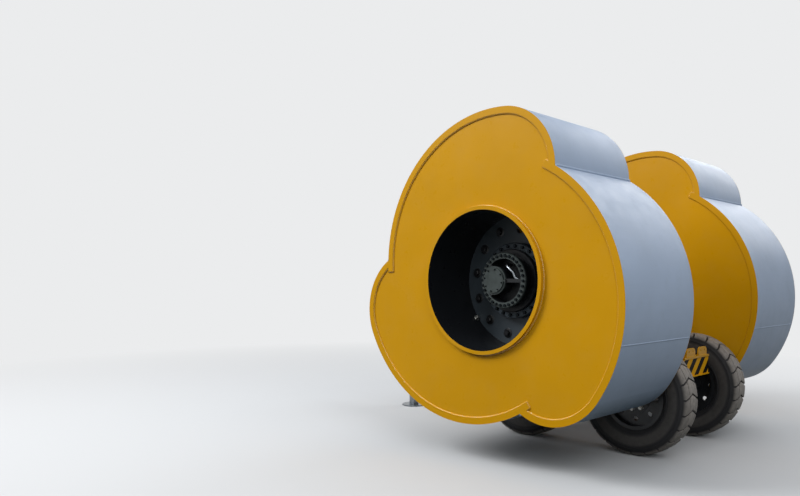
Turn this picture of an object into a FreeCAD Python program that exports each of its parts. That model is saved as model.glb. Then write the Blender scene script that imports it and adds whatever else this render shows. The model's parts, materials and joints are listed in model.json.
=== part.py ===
import FreeCAD, Part
import math
import os

V = FreeCAD.Vector

# Towed twin-drum impact roller. Millimetres, +X towards the towing machine, +Y to the left, +Z up.
# Inside this file x = 0 is the drum axle and z = 0 is the ground; the finished pieces are moved along X
# at the end so that the origin lies under the middle of the whole machine.

# Drums: three plates a drum, each a long climbing arc that runs into a shorter nose arc
LOBES = 3
NOTCH_RADIUS = 875.0
CLIMB_EXTRA = 88.0
NOSE_RADIUS = 407.0
CLIMB_TILT = -8.1
NOTCH_ANGLE = 38.7
DRUM_WIDTH = 900.0
DRUM_GAP = 1160.0
SHELL_WALL = 42.0
NOTCH_TAIL = 80.0
LANDING_BITE = 6.0
PLATE_THICKNESS = 20.0
PLATE_RECESS = 10.0

# Hub tube through each drum, with its bolted disc and the stepped hub on it
TUBE_BORE_RADIUS = 450.0
TUBE_WALL = 25.0
TUBE_STANDOUT = 20.0
TUBE_STANDOUT_INNER = 10.0
DISC_DEPTH = 410.0
DISC_THICKNESS = 30.0
DISC_HOLE_RADIUS = 30.0
DISC_HOLE_REACH = 352.0
HUB_BASE_RADIUS = 255.0
HUB_BASE_LENGTH = 75.0
HUB_BODY_RADIUS = 213.0
HUB_BODY_LENGTH = 30.0
HUB_NECK_RADIUS = 166.0
HUB_FACE_RADIUS = 185.0
HUB_FACE_LENGTH = 24.0
HUB_DEPTH = 225.0
HUB_WINDOW_RADIUS = 146.0
HUB_WINDOW_DEPTH = 95.0
HUB_WINDOW_FILLET = 10.0
HUB_RIB_HALF = 12.0
HUB_CAP_OFFSET = 76.0
HUB_BOSS_RADIUS = 96.0
HUB_CAP_RADIUS = 83.0
HUB_CAP_HEIGHT = 10.0
HUB_PIN_RADIUS = 9.0

# Drum axle, a shaft in two bearings on the lift arms; it is lower where the drums stand on the ground
AXLE_HEIGHT = 1200.0
STANDING_HEIGHT = 922.0
SHAFT_RADIUS = 75.0
SHAFT_FLANGE_RADIUS = 190.0
SHAFT_FLANGE_THICKNESS = 35.0
SHAFT_COLLAR_RADIUS = 105.0
RUNNING_CLEARANCE = 0.05
CHAMFER = 5.0
COLLAR_GAP = 2.0

# Lift arms, hinged on the chassis in front of the drums
PIVOT_SETBACK = 110.0
PIVOT_PIN_RADIUS = 45.0
PIN_OVERHANG = 12.0
WASHER_RADIUS = 76.0
WASHER_GAP = 0.5
ARM_SPACE = 40.0
ARM_THICKNESS = 60.0
ARM_PIVOT_RADIUS = 95.0
ARM_AXLE_RADIUS = 165.0
ARM_FLANGE = 30.0
ARM_POCKET_DEPTH = 24.0
ARM_POCKET_FILLET = 28.0
HOUSING_RADIUS = 135.0
HOUSING_FLANGE_RADIUS = 158.0
HOUSING_FLANGE = 16.0
HOUSING_BOSS_RADIUS = 110.0
HOUSING_INNER_REACH = 18.0
HOUSING_OUTER_REACH = 44.0
CROSS_TUBE_RADIUS = 45.0
CROSS_TUBE_REACH = 500.0
CROSS_TUBE_RISE = 98.0

# Chassis: two box rails between the drums
RAIL_INNER_Y = 140.0
RAIL_WIDTH = 70.0
RAIL_HEIGHT = 130.0
RAIL_WALL = 10.0
RAIL_FILLET = 9.0
PIN_SLEEVE_WALL = 14.0
RAIL_REAR_X = -790.0
RAIL_FRONT_X = 1060.0
CROSS_MEMBER_WIDTH = 90.0

# Rear end: striped cover with a folded lip, a top plate and two drilled lugs
COVER_HALF_WIDTH = 210.0
COVER_THICKNESS = 8.0
COVER_LIP = 10.0
TOP_PLATE_THICKNESS = 14.0
TOP_PLATE_DEPTH = 60.0
TOP_PLATE_OVERHANG = 6.0
LUG_WIDTH = 145.0
LUG_HEIGHT = 62.0
LUG_THICKNESS = 10.0
LUG_CORNER = 34.0
LUG_SETBACK = 4.0
LUG_SPACING = 200.0
LUG_HOLE_RADIUS = 6.5
LUG_HOLE_SPACING = 64.0
LUG_HOLE_SHARE = 0.6

# Transport wheels
TYRE_RADIUS = 400.0
TYRE_WIDTH = 205.0
TYRE_BEAD_RADIUS = 205.0
TYRE_CROWN_WIDTH = 176.0
TYRE_CLEARANCE = 42.5
FRONT_WHEEL_X = 360.0
REAR_WHEEL_X = -570.0
TYRE_SHOULDER = 28.0
TYRE_CROWN_DROP = 6.0
RIM_WIDTH = 150.0
RIM_WALL = 8.0
RIM_LIP = 6.0
RIM_LIP_RISE = 18.0
RIM_WELL = 25.0
RIM_DISC_THICKNESS = 14.0
RIM_DISC_OFFSET = 20.0
HAND_HOLES = 8
HAND_HOLE_RADIUS = 17.0
HAND_HOLE_REACH = 150.0
WHEEL_HUB_RADIUS = 75.0
WHEEL_FLANGE_RADIUS = 105.0
WHEEL_FLANGE_THICKNESS = 8.0
WHEEL_CAP_RADIUS = 58.0
SPINDLE_RADIUS = 35.0
AXLE_BEAM = 90.0
SADDLE_HEIGHT = 80.0
SPINDLE_START = 135.0
HUB_GAP = 5.0
SPINDLE_GAP = 3.0

# Lift cylinders between the rails, pushing on the cross tube
CYLINDER_Y = 65.0
CYLINDER_BASE_X = 518.0
CYLINDER_BASE_DROP = 142.0
BARREL_RADIUS = 50.0
ROD_RADIUS = 25.0
EYE_RADIUS = 42.0
EYE_WIDTH = 60.0
EYE_OVERLAP = 0.9
EYE_GAP = 8.0
EAR_GAP = 1.0
CYLINDER_PIN_RADIUS = 20.0
OPEN_EYE_CLEARANCE = 1.2
BARREL_BOTTOM = 20.0
END_CLEARANCE = 8.0
BASE_PLATE_THICKNESS = 15.0
EAR_THICKNESS = 12.0
BASE_PLATE_HALF = 96.0
BASE_PLATE_SEAT = 20.0
BASE_PLATE_RISE = 100.0

# Drawbar, tow eye and parking jack
DRAWBAR_TIP_X = 2180.0
DRAWBAR_WIDTH = 80.0
DRAWBAR_TIP_Y = 48.0
DRAWBAR_HEIGHT = 140.0
DRAWBAR_PLATE = 20.0
FRONT_PLATE_RISE = 25.0
FRONT_PLATE_OVERHANG = 10.0
TIP_PLATE_LENGTH = 340.0
TIP_PLATE_THICKNESS = 10.0
PLATE_INSET = 6.0
GUSSET_LENGTH = 160.0
GUSSET_WIDTH = 120.0
TOW_SHANK_LENGTH = 200.0
TOW_SHANK_WIDTH = 90.0
TOW_FLANGE = 20.0
TOW_FLANGE_WIDTH = 150.0
TOW_FLANGE_HEIGHT = 130.0
TOW_EYE_FILLET = 12.0
TOW_EYE_BORE_RADIUS = 38.0
TOW_EYE_OUTER_RADIUS = 85.0
TOW_EYE_THICKNESS = 60.0
JACK_X = 1880.0
JACK_SLEEVE = 80.0
JACK_LEG = 60.0
JACK_GAP = 9.0
JACK_ROOF = 20.0
JACK_BRACKET_HALF = 50.0
JACK_BRACKET_BITE = 16.0
JACK_SLEEVE_RISE = 310.0
JACK_SLEEVE_DROP = 260.0
JACK_LEG_HIDDEN = 220.0
JACK_FOOT_RADIUS = 110.0
JACK_FOOT_THICKNESS = 12.0
JACK_HEAD = 100.0
JACK_HEAD_HEIGHT = 30.0
CRANK_RADIUS = 9.0
CRANK_ARM = 150.0
CRANK_BEND = 22.0
CRANK_GRIP_RADIUS = 14.0
CRANK_GRIP = 120.0
BUFFER_RADIUS = 30.0
BUFFER_GAP = 6.0
SLIDE_CLEARANCE = 0.3

# Sizes that follow from the ones above
HALF_GAP = DRUM_GAP / 2
FACE_Y = HALF_GAP + DRUM_WIDTH
CLIMB_RADIUS = NOTCH_RADIUS + CLIMB_EXTRA
RAIL_BOTTOM = TYRE_RADIUS + AXLE_BEAM / 2 + SADDLE_HEIGHT
RAIL_TOP = RAIL_BOTTOM + RAIL_HEIGHT
RAIL_OUTER_Y = RAIL_INNER_Y + RAIL_WIDTH
PIVOT_HEIGHT = RAIL_BOTTOM + RAIL_HEIGHT / 2
DRAWBAR_Z = PIVOT_HEIGHT
ARM_INNER_Y = RAIL_OUTER_Y + ARM_SPACE
PIVOT_X = RAIL_FRONT_X - PIVOT_SETBACK
ARM_SPAN = math.hypot(PIVOT_X, AXLE_HEIGHT - PIVOT_HEIGHT)
RAISED = math.asin((AXLE_HEIGHT - PIVOT_HEIGHT) / ARM_SPAN)
LOWERED = math.asin((STANDING_HEIGHT - PIVOT_HEIGHT) / ARM_SPAN)
WHEEL_Y = HALF_GAP - TYRE_CLEARANCE - TYRE_WIDTH / 2
AXLE_BEAM_HALF_LENGTH = WHEEL_Y - SPINDLE_START
CYLINDER_BASE_HEIGHT = RAIL_BOTTOM - CYLINDER_BASE_DROP
TOW_EYE_X = DRAWBAR_TIP_X + DRAWBAR_PLATE + TOW_SHANK_LENGTH
JACK_SLEEVE_TOP = DRAWBAR_Z + JACK_SLEEVE_RISE
JACK_SLEEVE_BOTTOM = DRAWBAR_Z - JACK_SLEEVE_DROP


def box(x0, x1, y0, y1, z0, z1):
    return Part.makeBox(x1 - x0, y1 - y0, z1 - z0, V(x0, y0, z0))


def rod_y(radius, y0, y1, x, z):
    return Part.makeCylinder(radius, y1 - y0, V(x, y0, z), V(0, 1, 0))


def rod_between(radius, start, end):
    return Part.makeCylinder(radius, (end - start).Length, start, end - start)


def side_plate(points, y0, y1):
    """A plate standing in the XZ plane from its corner points (x, z)."""
    corners = [V(x, y0, z) for x, z in points]
    return Part.Face(Part.makePolygon(corners + corners[:1])).extrude(V(0, y1 - y0, 0))


def turned_y(profile, x, z):
    """A piece turned about an axis along Y from its profile of (radius, y) corners."""
    corners = [V(x + r, y, z) for r, y in profile]
    face = Part.Face(Part.makePolygon(corners + corners[:1]))
    return face.revolve(V(x, 0, z), V(0, 1, 0), 360)


def fused(shapes):
    result = shapes[0].multiFuse(shapes[1:]) if len(shapes) > 1 else shapes[0]
    return result.removeSplitter()


def mirrored(shape):
    return shape.mirror(V(0, 0, 0), V(0, 1, 0))


def on_circle(centre, radius, angle):
    """Point of a circle in the drum's plane; the angle runs from up towards the side, in radians."""
    return (centre[0] + radius * math.sin(angle), centre[1] + radius * math.cos(angle))


def lobe_arcs():
    """The climbing arc and the nose arc of one lobe whose notch points straight up.

    Each is (centre, radius, first angle, last angle). The nose circle touches the climbing circle from
    inside and passes through the next notch.
    """
    tilt = math.radians(CLIMB_TILT)
    step = 2 * math.pi / LOBES
    notch = (0.0, NOTCH_RADIUS)
    following = on_circle((0.0, 0.0), NOTCH_RADIUS, step)
    climb = (notch[0] - CLIMB_RADIUS * math.sin(tilt), notch[1] - CLIMB_RADIUS * math.cos(tilt))
    to_next = (following[0] - climb[0], following[1] - climb[1])
    apart = math.hypot(*to_next)
    inner = CLIMB_RADIUS - NOSE_RADIUS
    along = (inner ** 2 - NOSE_RADIUS ** 2 + apart ** 2) / (2 * apart)
    aside = math.sqrt(inner ** 2 - along ** 2)
    u = (to_next[0] / apart, to_next[1] / apart)
    nose = (climb[0] + along * u[0] - aside * u[1], climb[1] + along * u[1] + aside * u[0])
    meet = math.atan2(nose[0] - climb[0], nose[1] - climb[1])
    landing = math.atan2(following[0] - nose[0], following[1] - nose[1])
    return (climb, CLIMB_RADIUS, tilt, meet), (nose, NOSE_RADIUS, meet, landing)


def arc_edge(centre, radius, first, last):
    points = [on_circle(centre, radius, a) for a in (first, (first + last) / 2, last)]
    return Part.Arc(*[V(-u, 0, w) for u, w in points]).toShape()


def straight_edge(a, b):
    return Part.makeLine(V(-a[0], 0, a[1]), V(-b[0], 0, b[1]))


def lobe_turned(shape, index):
    """Turns a piece of the lobe that points up to its place around the drum axle."""
    copy = shape.copy()
    copy.rotate(V(0, 0, 0), V(0, 1, 0), -(NOTCH_ANGLE + index * 360.0 / LOBES))
    return copy


def lobe_band(width):
    """One rolled plate: it starts inside the notch as a tail and its nose lands on the next plate."""
    (c1, r1, a0, a1), (c2, r2, a2, a3) = lobe_arcs()
    start = a0 - NOTCH_TAIL / r1
    end = a3 + LANDING_BITE / r2
    t1 = r1 - SHELL_WALL
    t2 = r2 - SHELL_WALL
    edges = [
        arc_edge(c1, r1, start, a1),
        arc_edge(c2, r2, a2, end),
        straight_edge(on_circle(c2, r2, end), on_circle(c2, t2, end)),
        arc_edge(c2, t2, end, a2),
        arc_edge(c1, t1, a1, start),
        straight_edge(on_circle(c1, t1, start), on_circle(c1, r1, start)),
    ]
    return Part.Face(Part.Wire(edges)).extrude(V(0, width, 0))


def filled_outline(width):
    edges = []
    for k in range(LOBES):
        for arc in lobe_arcs():
            edges.append(lobe_turned(arc_edge(*arc), k))
    return Part.Face(Part.Wire(Part.__sortEdges__(edges))).extrude(V(0, width, 0))


def placed(shape, y=0.0):
    """Moves a drum piece from its own centre to the axle height."""
    copy = shape.copy()
    copy.translate(V(0, y, AXLE_HEIGHT))
    return copy


def drum_pieces():
    """All pieces of the left drum, with its axis on the drum axle."""
    shell = fused([lobe_turned(lobe_band(DRUM_WIDTH), k) for k in range(LOBES)])
    cover = filled_outline(PLATE_THICKNESS)
    opening = rod_y(TUBE_BORE_RADIUS + TUBE_WALL, 0, PLATE_THICKNESS, 0, 0)
    plate = cover.cut(fused([lobe_turned(lobe_band(PLATE_THICKNESS), k) for k in range(LOBES)])).cut(opening)
    tube_length = DRUM_WIDTH + TUBE_STANDOUT + TUBE_STANDOUT_INNER
    tube = rod_y(TUBE_BORE_RADIUS + TUBE_WALL, 0, tube_length, 0, 0)
    tube = tube.cut(rod_y(TUBE_BORE_RADIUS, 0, tube_length, 0, 0))
    disc_y = FACE_Y - DISC_DEPTH
    disc = rod_y(TUBE_BORE_RADIUS, disc_y - DISC_THICKNESS, disc_y, 0, AXLE_HEIGHT)
    hole_z = AXLE_HEIGHT + DISC_HOLE_REACH
    disc = disc.cut(rod_y(DISC_HOLE_RADIUS, disc_y - DISC_THICKNESS, disc_y, 0, hole_z))
    return {
        "drum_shell": placed(shell, HALF_GAP),
        "drum_outer_plate": placed(plate, FACE_Y - PLATE_RECESS - PLATE_THICKNESS),
        "drum_inner_plate": placed(plate, HALF_GAP + PLATE_RECESS),
        "drum_hub_tube": placed(tube, HALF_GAP - TUBE_STANDOUT_INNER),
        "drum_disc": disc,
        "hub": hub(disc_y),
    }


def hub(seat_y):
    """The stepped hub on the disc's outer side, its face open in two windows beside an off-centre cap."""
    face_y = FACE_Y - HUB_DEPTH
    base = seat_y + HUB_BASE_LENGTH
    body = base + HUB_BODY_LENGTH
    back = face_y - HUB_FACE_LENGTH
    cut = CHAMFER
    profile = [
        (0, seat_y), (HUB_BASE_RADIUS, seat_y), (HUB_BASE_RADIUS, base - cut), (HUB_BASE_RADIUS - cut, base),
        (HUB_BODY_RADIUS, base), (HUB_BODY_RADIUS, body - cut), (HUB_BODY_RADIUS - cut, body),
        (HUB_NECK_RADIUS, body), (HUB_NECK_RADIUS, back), (HUB_FACE_RADIUS, back),
        (HUB_FACE_RADIUS, face_y - cut), (HUB_FACE_RADIUS - cut, face_y), (0, face_y),
    ]
    stepped = turned_y(profile, 0, AXLE_HEIGHT).cut(hub_windows(face_y))
    cap_y = face_y + HUB_CAP_HEIGHT
    return fused([
        stepped,
        rod_y(HUB_CAP_RADIUS, face_y, cap_y, HUB_CAP_OFFSET, AXLE_HEIGHT),
        rod_y(HUB_PIN_RADIUS, back, cap_y, HUB_CAP_OFFSET - HUB_BOSS_RADIUS, AXLE_HEIGHT),
    ])


def hub_windows(face_y):
    """The crescent around the cap's boss, split in two by a rib, with rounded corners."""
    y0 = face_y - HUB_WINDOW_DEPTH
    crescent = rod_y(HUB_WINDOW_RADIUS, y0, face_y, 0, AXLE_HEIGHT)
    crescent = crescent.cut(rod_y(HUB_BOSS_RADIUS, y0, face_y, HUB_CAP_OFFSET, AXLE_HEIGHT))
    rib = box(-HUB_WINDOW_RADIUS, HUB_CAP_OFFSET, y0, face_y,
              AXLE_HEIGHT - HUB_RIB_HALF, AXLE_HEIGHT + HUB_RIB_HALF)
    windows = [with_round_corners(solid, HUB_WINDOW_FILLET) for solid in crescent.cut(rib).Solids]
    return Part.makeCompound(windows)


def with_round_corners(prism, radius):
    """Rounds the edges that run along Y where two faces of a prism meet."""
    edges = [e for e in prism.Edges if isinstance(e.Curve, Part.Line) and abs(e.tangentAt(0).y) > 0.99]
    return prism.makeFillet(radius, edges)


def drum_axle():
    """The shaft that joins both drums, with a flange bolted to each disc and a collar at each bearing."""
    disc_inner = FACE_Y - DISC_DEPTH - DISC_THICKNESS
    housing_outer = ARM_INNER_Y + ARM_THICKNESS + HOUSING_OUTER_REACH
    solids = [rod_y(SHAFT_RADIUS, -disc_inner, disc_inner, 0, AXLE_HEIGHT)]
    for side in (-1, 1):
        flange = sorted((side * (disc_inner - SHAFT_FLANGE_THICKNESS), side * disc_inner))
        collar = sorted((side * (housing_outer + COLLAR_GAP), side * (disc_inner - SHAFT_FLANGE_THICKNESS)))
        solids.append(rod_y(SHAFT_FLANGE_RADIUS, flange[0], flange[1], 0, AXLE_HEIGHT))
        solids.append(rod_y(SHAFT_COLLAR_RADIUS, collar[0], collar[1], 0, AXLE_HEIGHT))
    return fused(solids)


def arm_frame():
    """Unit vectors along the arm, from its pivot to the drum axle, and square to it, upwards."""
    along = V(-PIVOT_X, 0, AXLE_HEIGHT - PIVOT_HEIGHT).normalize()
    return along, V(along.z, 0, -along.x)


def on_arm(reach, rise):
    along, up = arm_frame()
    return V(PIVOT_X, 0, PIVOT_HEIGHT) + along * reach + up * rise


def tapered_arm(y0, y1):
    """A flat arm around its pivot and its axle end, with sides tangent to both."""
    lean = math.asin((ARM_AXLE_RADIUS - ARM_PIVOT_RADIUS) / ARM_SPAN)
    ends = []
    for reach, radius in ((0.0, ARM_PIVOT_RADIUS), (ARM_SPAN, ARM_AXLE_RADIUS)):
        for sign in (1, -1):
            p = on_arm(reach - radius * math.sin(lean), sign * radius * math.cos(lean))
            ends.append((p.x, p.z))
    body = side_plate([ends[0], ends[2], ends[3], ends[1]], y0, y1)
    pivot_end = rod_y(ARM_PIVOT_RADIUS, y0, y1, PIVOT_X, PIVOT_HEIGHT)
    axle_end = rod_y(ARM_AXLE_RADIUS, y0, y1, 0, AXLE_HEIGHT)
    arm = fused([body, pivot_end, axle_end]).cut(arm_pocket(y1))
    arm = arm.cut(rod_y(PIVOT_PIN_RADIUS + RUNNING_CLEARANCE, y0, y1, PIVOT_X, PIVOT_HEIGHT))
    return arm.cut(rod_y(HOUSING_RADIUS, y0, y1, 0, AXLE_HEIGHT))


def arm_pocket(face_y):
    """The pocket in the arm's outer side, which leaves a flange of even width around it."""
    corners = []
    for reach, turn in ((ARM_PIVOT_RADIUS + ARM_FLANGE, 1), (ARM_SPAN - ARM_AXLE_RADIUS - ARM_FLANGE, -1)):
        half = ARM_PIVOT_RADIUS + (ARM_AXLE_RADIUS - ARM_PIVOT_RADIUS) * reach / ARM_SPAN - ARM_FLANGE
        corners += [on_arm(reach, turn * half), on_arm(reach, -turn * half)]
    prism = side_plate([(p.x, p.z) for p in corners], face_y - ARM_POCKET_DEPTH, face_y)
    return with_round_corners(prism, ARM_POCKET_FILLET)


def lift_arm_pieces():
    y0 = ARM_INNER_Y
    y1 = ARM_INNER_Y + ARM_THICKNESS
    return {"lift_arm": tapered_arm(y0, y1), "bearing_housing": bearing_housing(y0, y1)}


def bearing_housing(y0, y1):
    """A turned housing that fills the arm's bore, with a flange on the arm's outer side and two bosses."""
    bore = SHAFT_RADIUS + RUNNING_CLEARANCE
    inner = y0 - HOUSING_INNER_REACH
    outer = y1 + HOUSING_OUTER_REACH
    flange = y1 + HOUSING_FLANGE
    cut = CHAMFER
    profile = [
        (bore, inner), (HOUSING_BOSS_RADIUS - cut, inner), (HOUSING_BOSS_RADIUS, inner + cut),
        (HOUSING_BOSS_RADIUS, y0), (HOUSING_RADIUS, y0), (HOUSING_RADIUS, y1), (HOUSING_FLANGE_RADIUS, y1),
        (HOUSING_FLANGE_RADIUS, flange - cut), (HOUSING_FLANGE_RADIUS - cut, flange),
        (HOUSING_BOSS_RADIUS, flange), (HOUSING_BOSS_RADIUS, outer - cut), (HOUSING_BOSS_RADIUS - cut, outer),
        (bore, outer),
    ]
    return turned_y(profile, 0, AXLE_HEIGHT)


def cylinder_ends():
    """Pin centres of the lift cylinders at rest: base on the chassis, rod end on the cross tube's ears."""
    base = V(CYLINDER_BASE_X, 0, CYLINDER_BASE_HEIGHT)
    top = on_arm(CROSS_TUBE_REACH, CROSS_TUBE_RISE - CROSS_TUBE_RADIUS - EYE_RADIUS - EYE_GAP)
    return base, top


def lowered(point):
    """Where a point of the lift arms lies when the drums stand on the ground."""
    turn = RAISED - LOWERED
    dx = point.x - PIVOT_X
    dz = point.z - PIVOT_HEIGHT
    return V(PIVOT_X + dx * math.cos(turn) - dz * math.sin(turn), point.y,
             PIVOT_HEIGHT + dx * math.sin(turn) + dz * math.cos(turn))


def cross_tube():
    """The tube between the arms, with two pairs of ears and a pin for the rod eyes below it."""
    centre = on_arm(CROSS_TUBE_REACH, CROSS_TUBE_RISE)
    base, top = cylinder_ends()
    solids = [rod_y(CROSS_TUBE_RADIUS, -ARM_INNER_Y, ARM_INNER_Y, centre.x, centre.z)]
    for middle in (-CYLINDER_Y, CYLINDER_Y):
        for side in (-1, 1):
            face = middle + side * (EYE_WIDTH / 2 + EAR_GAP)
            y0, y1 = sorted((face, face + side * EAR_THICKNESS))
            web = Part.makeBox(2 * EYE_RADIUS, y1 - y0, (centre - top).Length, V(-EYE_RADIUS, y0, 0))
            direction = centre - top
            web.rotate(V(0, 0, 0), V(0, 1, 0), math.degrees(math.atan2(direction.x, direction.z)))
            web.translate(V(top.x, 0, top.z))
            solids.append(web)
            solids.append(rod_y(EYE_RADIUS, y0, y1, top.x, top.z))
    outer = CYLINDER_Y + EYE_WIDTH / 2 + EAR_GAP + EAR_THICKNESS
    solids.append(rod_y(CYLINDER_PIN_RADIUS, -outer, outer, top.x, top.z))
    return fused(solids)


def lift_cylinder(y):
    """Barrel and rod of one lift cylinder, each with an eye on its pin."""
    base, top = cylinder_ends()
    axis = (top - base).normalize()
    shift = V(0, y, 0)
    base = base + shift
    top = top + shift
    bore = CYLINDER_PIN_RADIUS + RUNNING_CLEARANCE
    half = EYE_WIDTH / 2
    closed = (lowered(top) - base).Length
    stroke = (top - base).Length - closed
    barrel_end = base + axis * (closed - EYE_RADIUS - END_CLEARANCE)
    barrel = fused([
        rod_y(EYE_RADIUS, y - half, y + half, base.x, base.z),
        rod_between(BARREL_RADIUS, base + axis * EYE_RADIUS * EYE_OVERLAP, barrel_end),
    ])
    barrel = barrel.cut(rod_y(bore, y - half, y + half, base.x, base.z))
    inside = base + axis * (EYE_RADIUS + BARREL_BOTTOM)
    barrel = barrel.cut(rod_between(ROD_RADIUS + RUNNING_CLEARANCE, inside, barrel_end))
    rod_start = inside + axis * (stroke + END_CLEARANCE)
    rod = fused([
        rod_between(ROD_RADIUS, rod_start, top - axis * EYE_RADIUS * EYE_OVERLAP),
        rod_y(EYE_RADIUS, y - half, y + half, top.x, top.z),
    ])
    open_bore = CYLINDER_PIN_RADIUS + OPEN_EYE_CLEARANCE
    rod = rod.cut(rod_y(open_bore, y - half, y + half, top.x, top.z))
    return barrel, rod


def rail():
    y0 = RAIL_INNER_Y
    y1 = RAIL_OUTER_Y
    outer = box(RAIL_REAR_X, RAIL_FRONT_X, y0, y1, RAIL_BOTTOM, RAIL_TOP)
    outer = outer.makeFillet(RAIL_FILLET, [e for e in outer.Edges if abs(e.tangentAt(0).x) > 0.99])
    inner = box(RAIL_REAR_X, RAIL_FRONT_X, y0 + RAIL_WALL, y1 - RAIL_WALL,
                RAIL_BOTTOM + RAIL_WALL, RAIL_TOP - RAIL_WALL)
    sleeve = rod_y(PIVOT_PIN_RADIUS + PIN_SLEEVE_WALL, y0, y1, PIVOT_X, PIVOT_HEIGHT)
    body = fused([outer.cut(inner), sleeve])
    return body.cut(rod_y(PIVOT_PIN_RADIUS, y0, y1, PIVOT_X, PIVOT_HEIGHT))


def cross_members():
    front = PIVOT_X - PIVOT_PIN_RADIUS - PIN_SLEEVE_WALL - CROSS_MEMBER_WIDTH
    starts = [RAIL_REAR_X, REAR_WHEEL_X + AXLE_BEAM, front]
    solids = []
    for x0 in starts:
        solids.append(box(x0, x0 + CROSS_MEMBER_WIDTH, -RAIL_INNER_Y, RAIL_INNER_Y, RAIL_BOTTOM, RAIL_TOP))
    return Part.makeCompound(solids)


def pivot_pin():
    reach = ARM_INNER_Y + ARM_THICKNESS + PIN_OVERHANG
    return rod_y(PIVOT_PIN_RADIUS, -reach, reach, PIVOT_X, PIVOT_HEIGHT)


def pivot_washers():
    solids = []
    for side in (-1, 1):
        y0, y1 = sorted((side * RAIL_OUTER_Y, side * (ARM_INNER_Y - WASHER_GAP)))
        ring = rod_y(WASHER_RADIUS, y0, y1, PIVOT_X, PIVOT_HEIGHT)
        solids.append(ring.cut(rod_y(PIVOT_PIN_RADIUS, y0, y1, PIVOT_X, PIVOT_HEIGHT)))
    return Part.makeCompound(solids)


def axle_beam(x):
    """One square axle under the rails on two saddle blocks, with a spindle at each end."""
    half = AXLE_BEAM / 2
    beam = box(x - half, x + half, -AXLE_BEAM_HALF_LENGTH, AXLE_BEAM_HALF_LENGTH,
               TYRE_RADIUS - half, TYRE_RADIUS + half)
    solids = [beam]
    for side in (-1, 1):
        y0, y1 = sorted((side * RAIL_INNER_Y, side * RAIL_OUTER_Y))
        solids.append(box(x - AXLE_BEAM, x + AXLE_BEAM, y0, y1, TYRE_RADIUS + half, RAIL_BOTTOM))
        tip = WHEEL_Y + RIM_DISC_OFFSET + RIM_DISC_THICKNESS
        y0, y1 = sorted((side * AXLE_BEAM_HALF_LENGTH, side * tip))
        solids.append(rod_y(SPINDLE_RADIUS, y0, y1, x, TYRE_RADIUS))
    return fused(solids)


def tyre(x):
    """A left tyre from its section: bead, bulging sidewall, shoulder and slightly crowned tread."""
    bead = RIM_WIDTH / 2 - RIM_LIP
    lip_top = TYRE_BEAD_RADIUS + RIM_LIP_RISE
    shoulder = TYRE_RADIUS - TYRE_SHOULDER
    crown = TYRE_RADIUS - TYRE_CROWN_DROP

    def at(radius, w):
        return V(x + radius, WHEEL_Y + w, TYRE_RADIUS)

    edges = [
        Part.makeLine(at(TYRE_BEAD_RADIUS, -bead), at(TYRE_BEAD_RADIUS, bead)),
        Part.Arc(at(crown, TYRE_CROWN_WIDTH / 2), at(TYRE_RADIUS, 0),
                 at(crown, -TYRE_CROWN_WIDTH / 2)).toShape(),
    ]
    for side in (1, -1):
        belly = at((lip_top + shoulder) / 2, side * TYRE_WIDTH / 2)
        foot = at(lip_top, side * bead)
        corner = at(shoulder, side * (TYRE_WIDTH / 2 - TYRE_CROWN_DROP))
        edges.append(Part.makeLine(at(TYRE_BEAD_RADIUS, side * bead), foot))
        edges.append(Part.Arc(foot, belly, corner).toShape())
        edges.append(Part.makeLine(corner, at(crown, side * TYRE_CROWN_WIDTH / 2)))
    section = Part.Face(Part.Wire(Part.__sortEdges__(edges)))
    return section.revolve(V(x, 0, TYRE_RADIUS), V(0, 1, 0), 360)


def rim(x):
    """A left rim: lipped barrel with a well, disc with hand holes, and the hub that turns on the spindle."""
    half = RIM_WIDTH / 2
    seat = TYRE_BEAD_RADIUS
    under = seat - RIM_WALL
    lip = seat + RIM_LIP_RISE
    well = -RIM_DISC_OFFSET * 2
    profile = [
        (lip, -half), (lip, -half + RIM_LIP), (seat, -half + RIM_LIP), (seat, well),
        (seat - RIM_WELL, well + RIM_LIP), (seat - RIM_WELL, 0), (seat, RIM_LIP), (seat, half - RIM_LIP),
        (lip, half - RIM_LIP), (lip, half), (under, half), (under, RIM_LIP + RIM_WALL),
        (under - RIM_WELL, RIM_WALL), (under - RIM_WELL, well + RIM_LIP - RIM_WALL),
        (under, well - RIM_WALL), (under, -half),
    ]
    barrel = turned_y([(r, WHEEL_Y + w) for r, w in profile], x, TYRE_RADIUS)
    disc_y = WHEEL_Y + RIM_DISC_OFFSET
    disc_outer = disc_y + RIM_DISC_THICKNESS
    flange_outer = disc_outer + WHEEL_FLANGE_THICKNESS
    disc = rod_y(under, disc_y, disc_outer, x, TYRE_RADIUS)
    for k in range(HAND_HOLES):
        angle = 2 * math.pi * k / HAND_HOLES
        hole_x = x + HAND_HOLE_REACH * math.cos(angle)
        hole_z = TYRE_RADIUS + HAND_HOLE_REACH * math.sin(angle)
        disc = disc.cut(rod_y(HAND_HOLE_RADIUS, disc_y, disc_outer, hole_x, hole_z))
    inner = AXLE_BEAM_HALF_LENGTH + HUB_GAP
    body = fused([
        barrel, disc,
        rod_y(WHEEL_HUB_RADIUS, inner, disc_outer, x, TYRE_RADIUS),
        rod_y(WHEEL_FLANGE_RADIUS, disc_outer, flange_outer, x, TYRE_RADIUS),
        rod_y(WHEEL_CAP_RADIUS, flange_outer, WHEEL_Y + half - HUB_GAP, x, TYRE_RADIUS),
    ])
    bore = SPINDLE_RADIUS + RUNNING_CLEARANCE
    return body.cut(rod_y(bore, inner, disc_outer + SPINDLE_GAP, x, TYRE_RADIUS))


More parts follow.
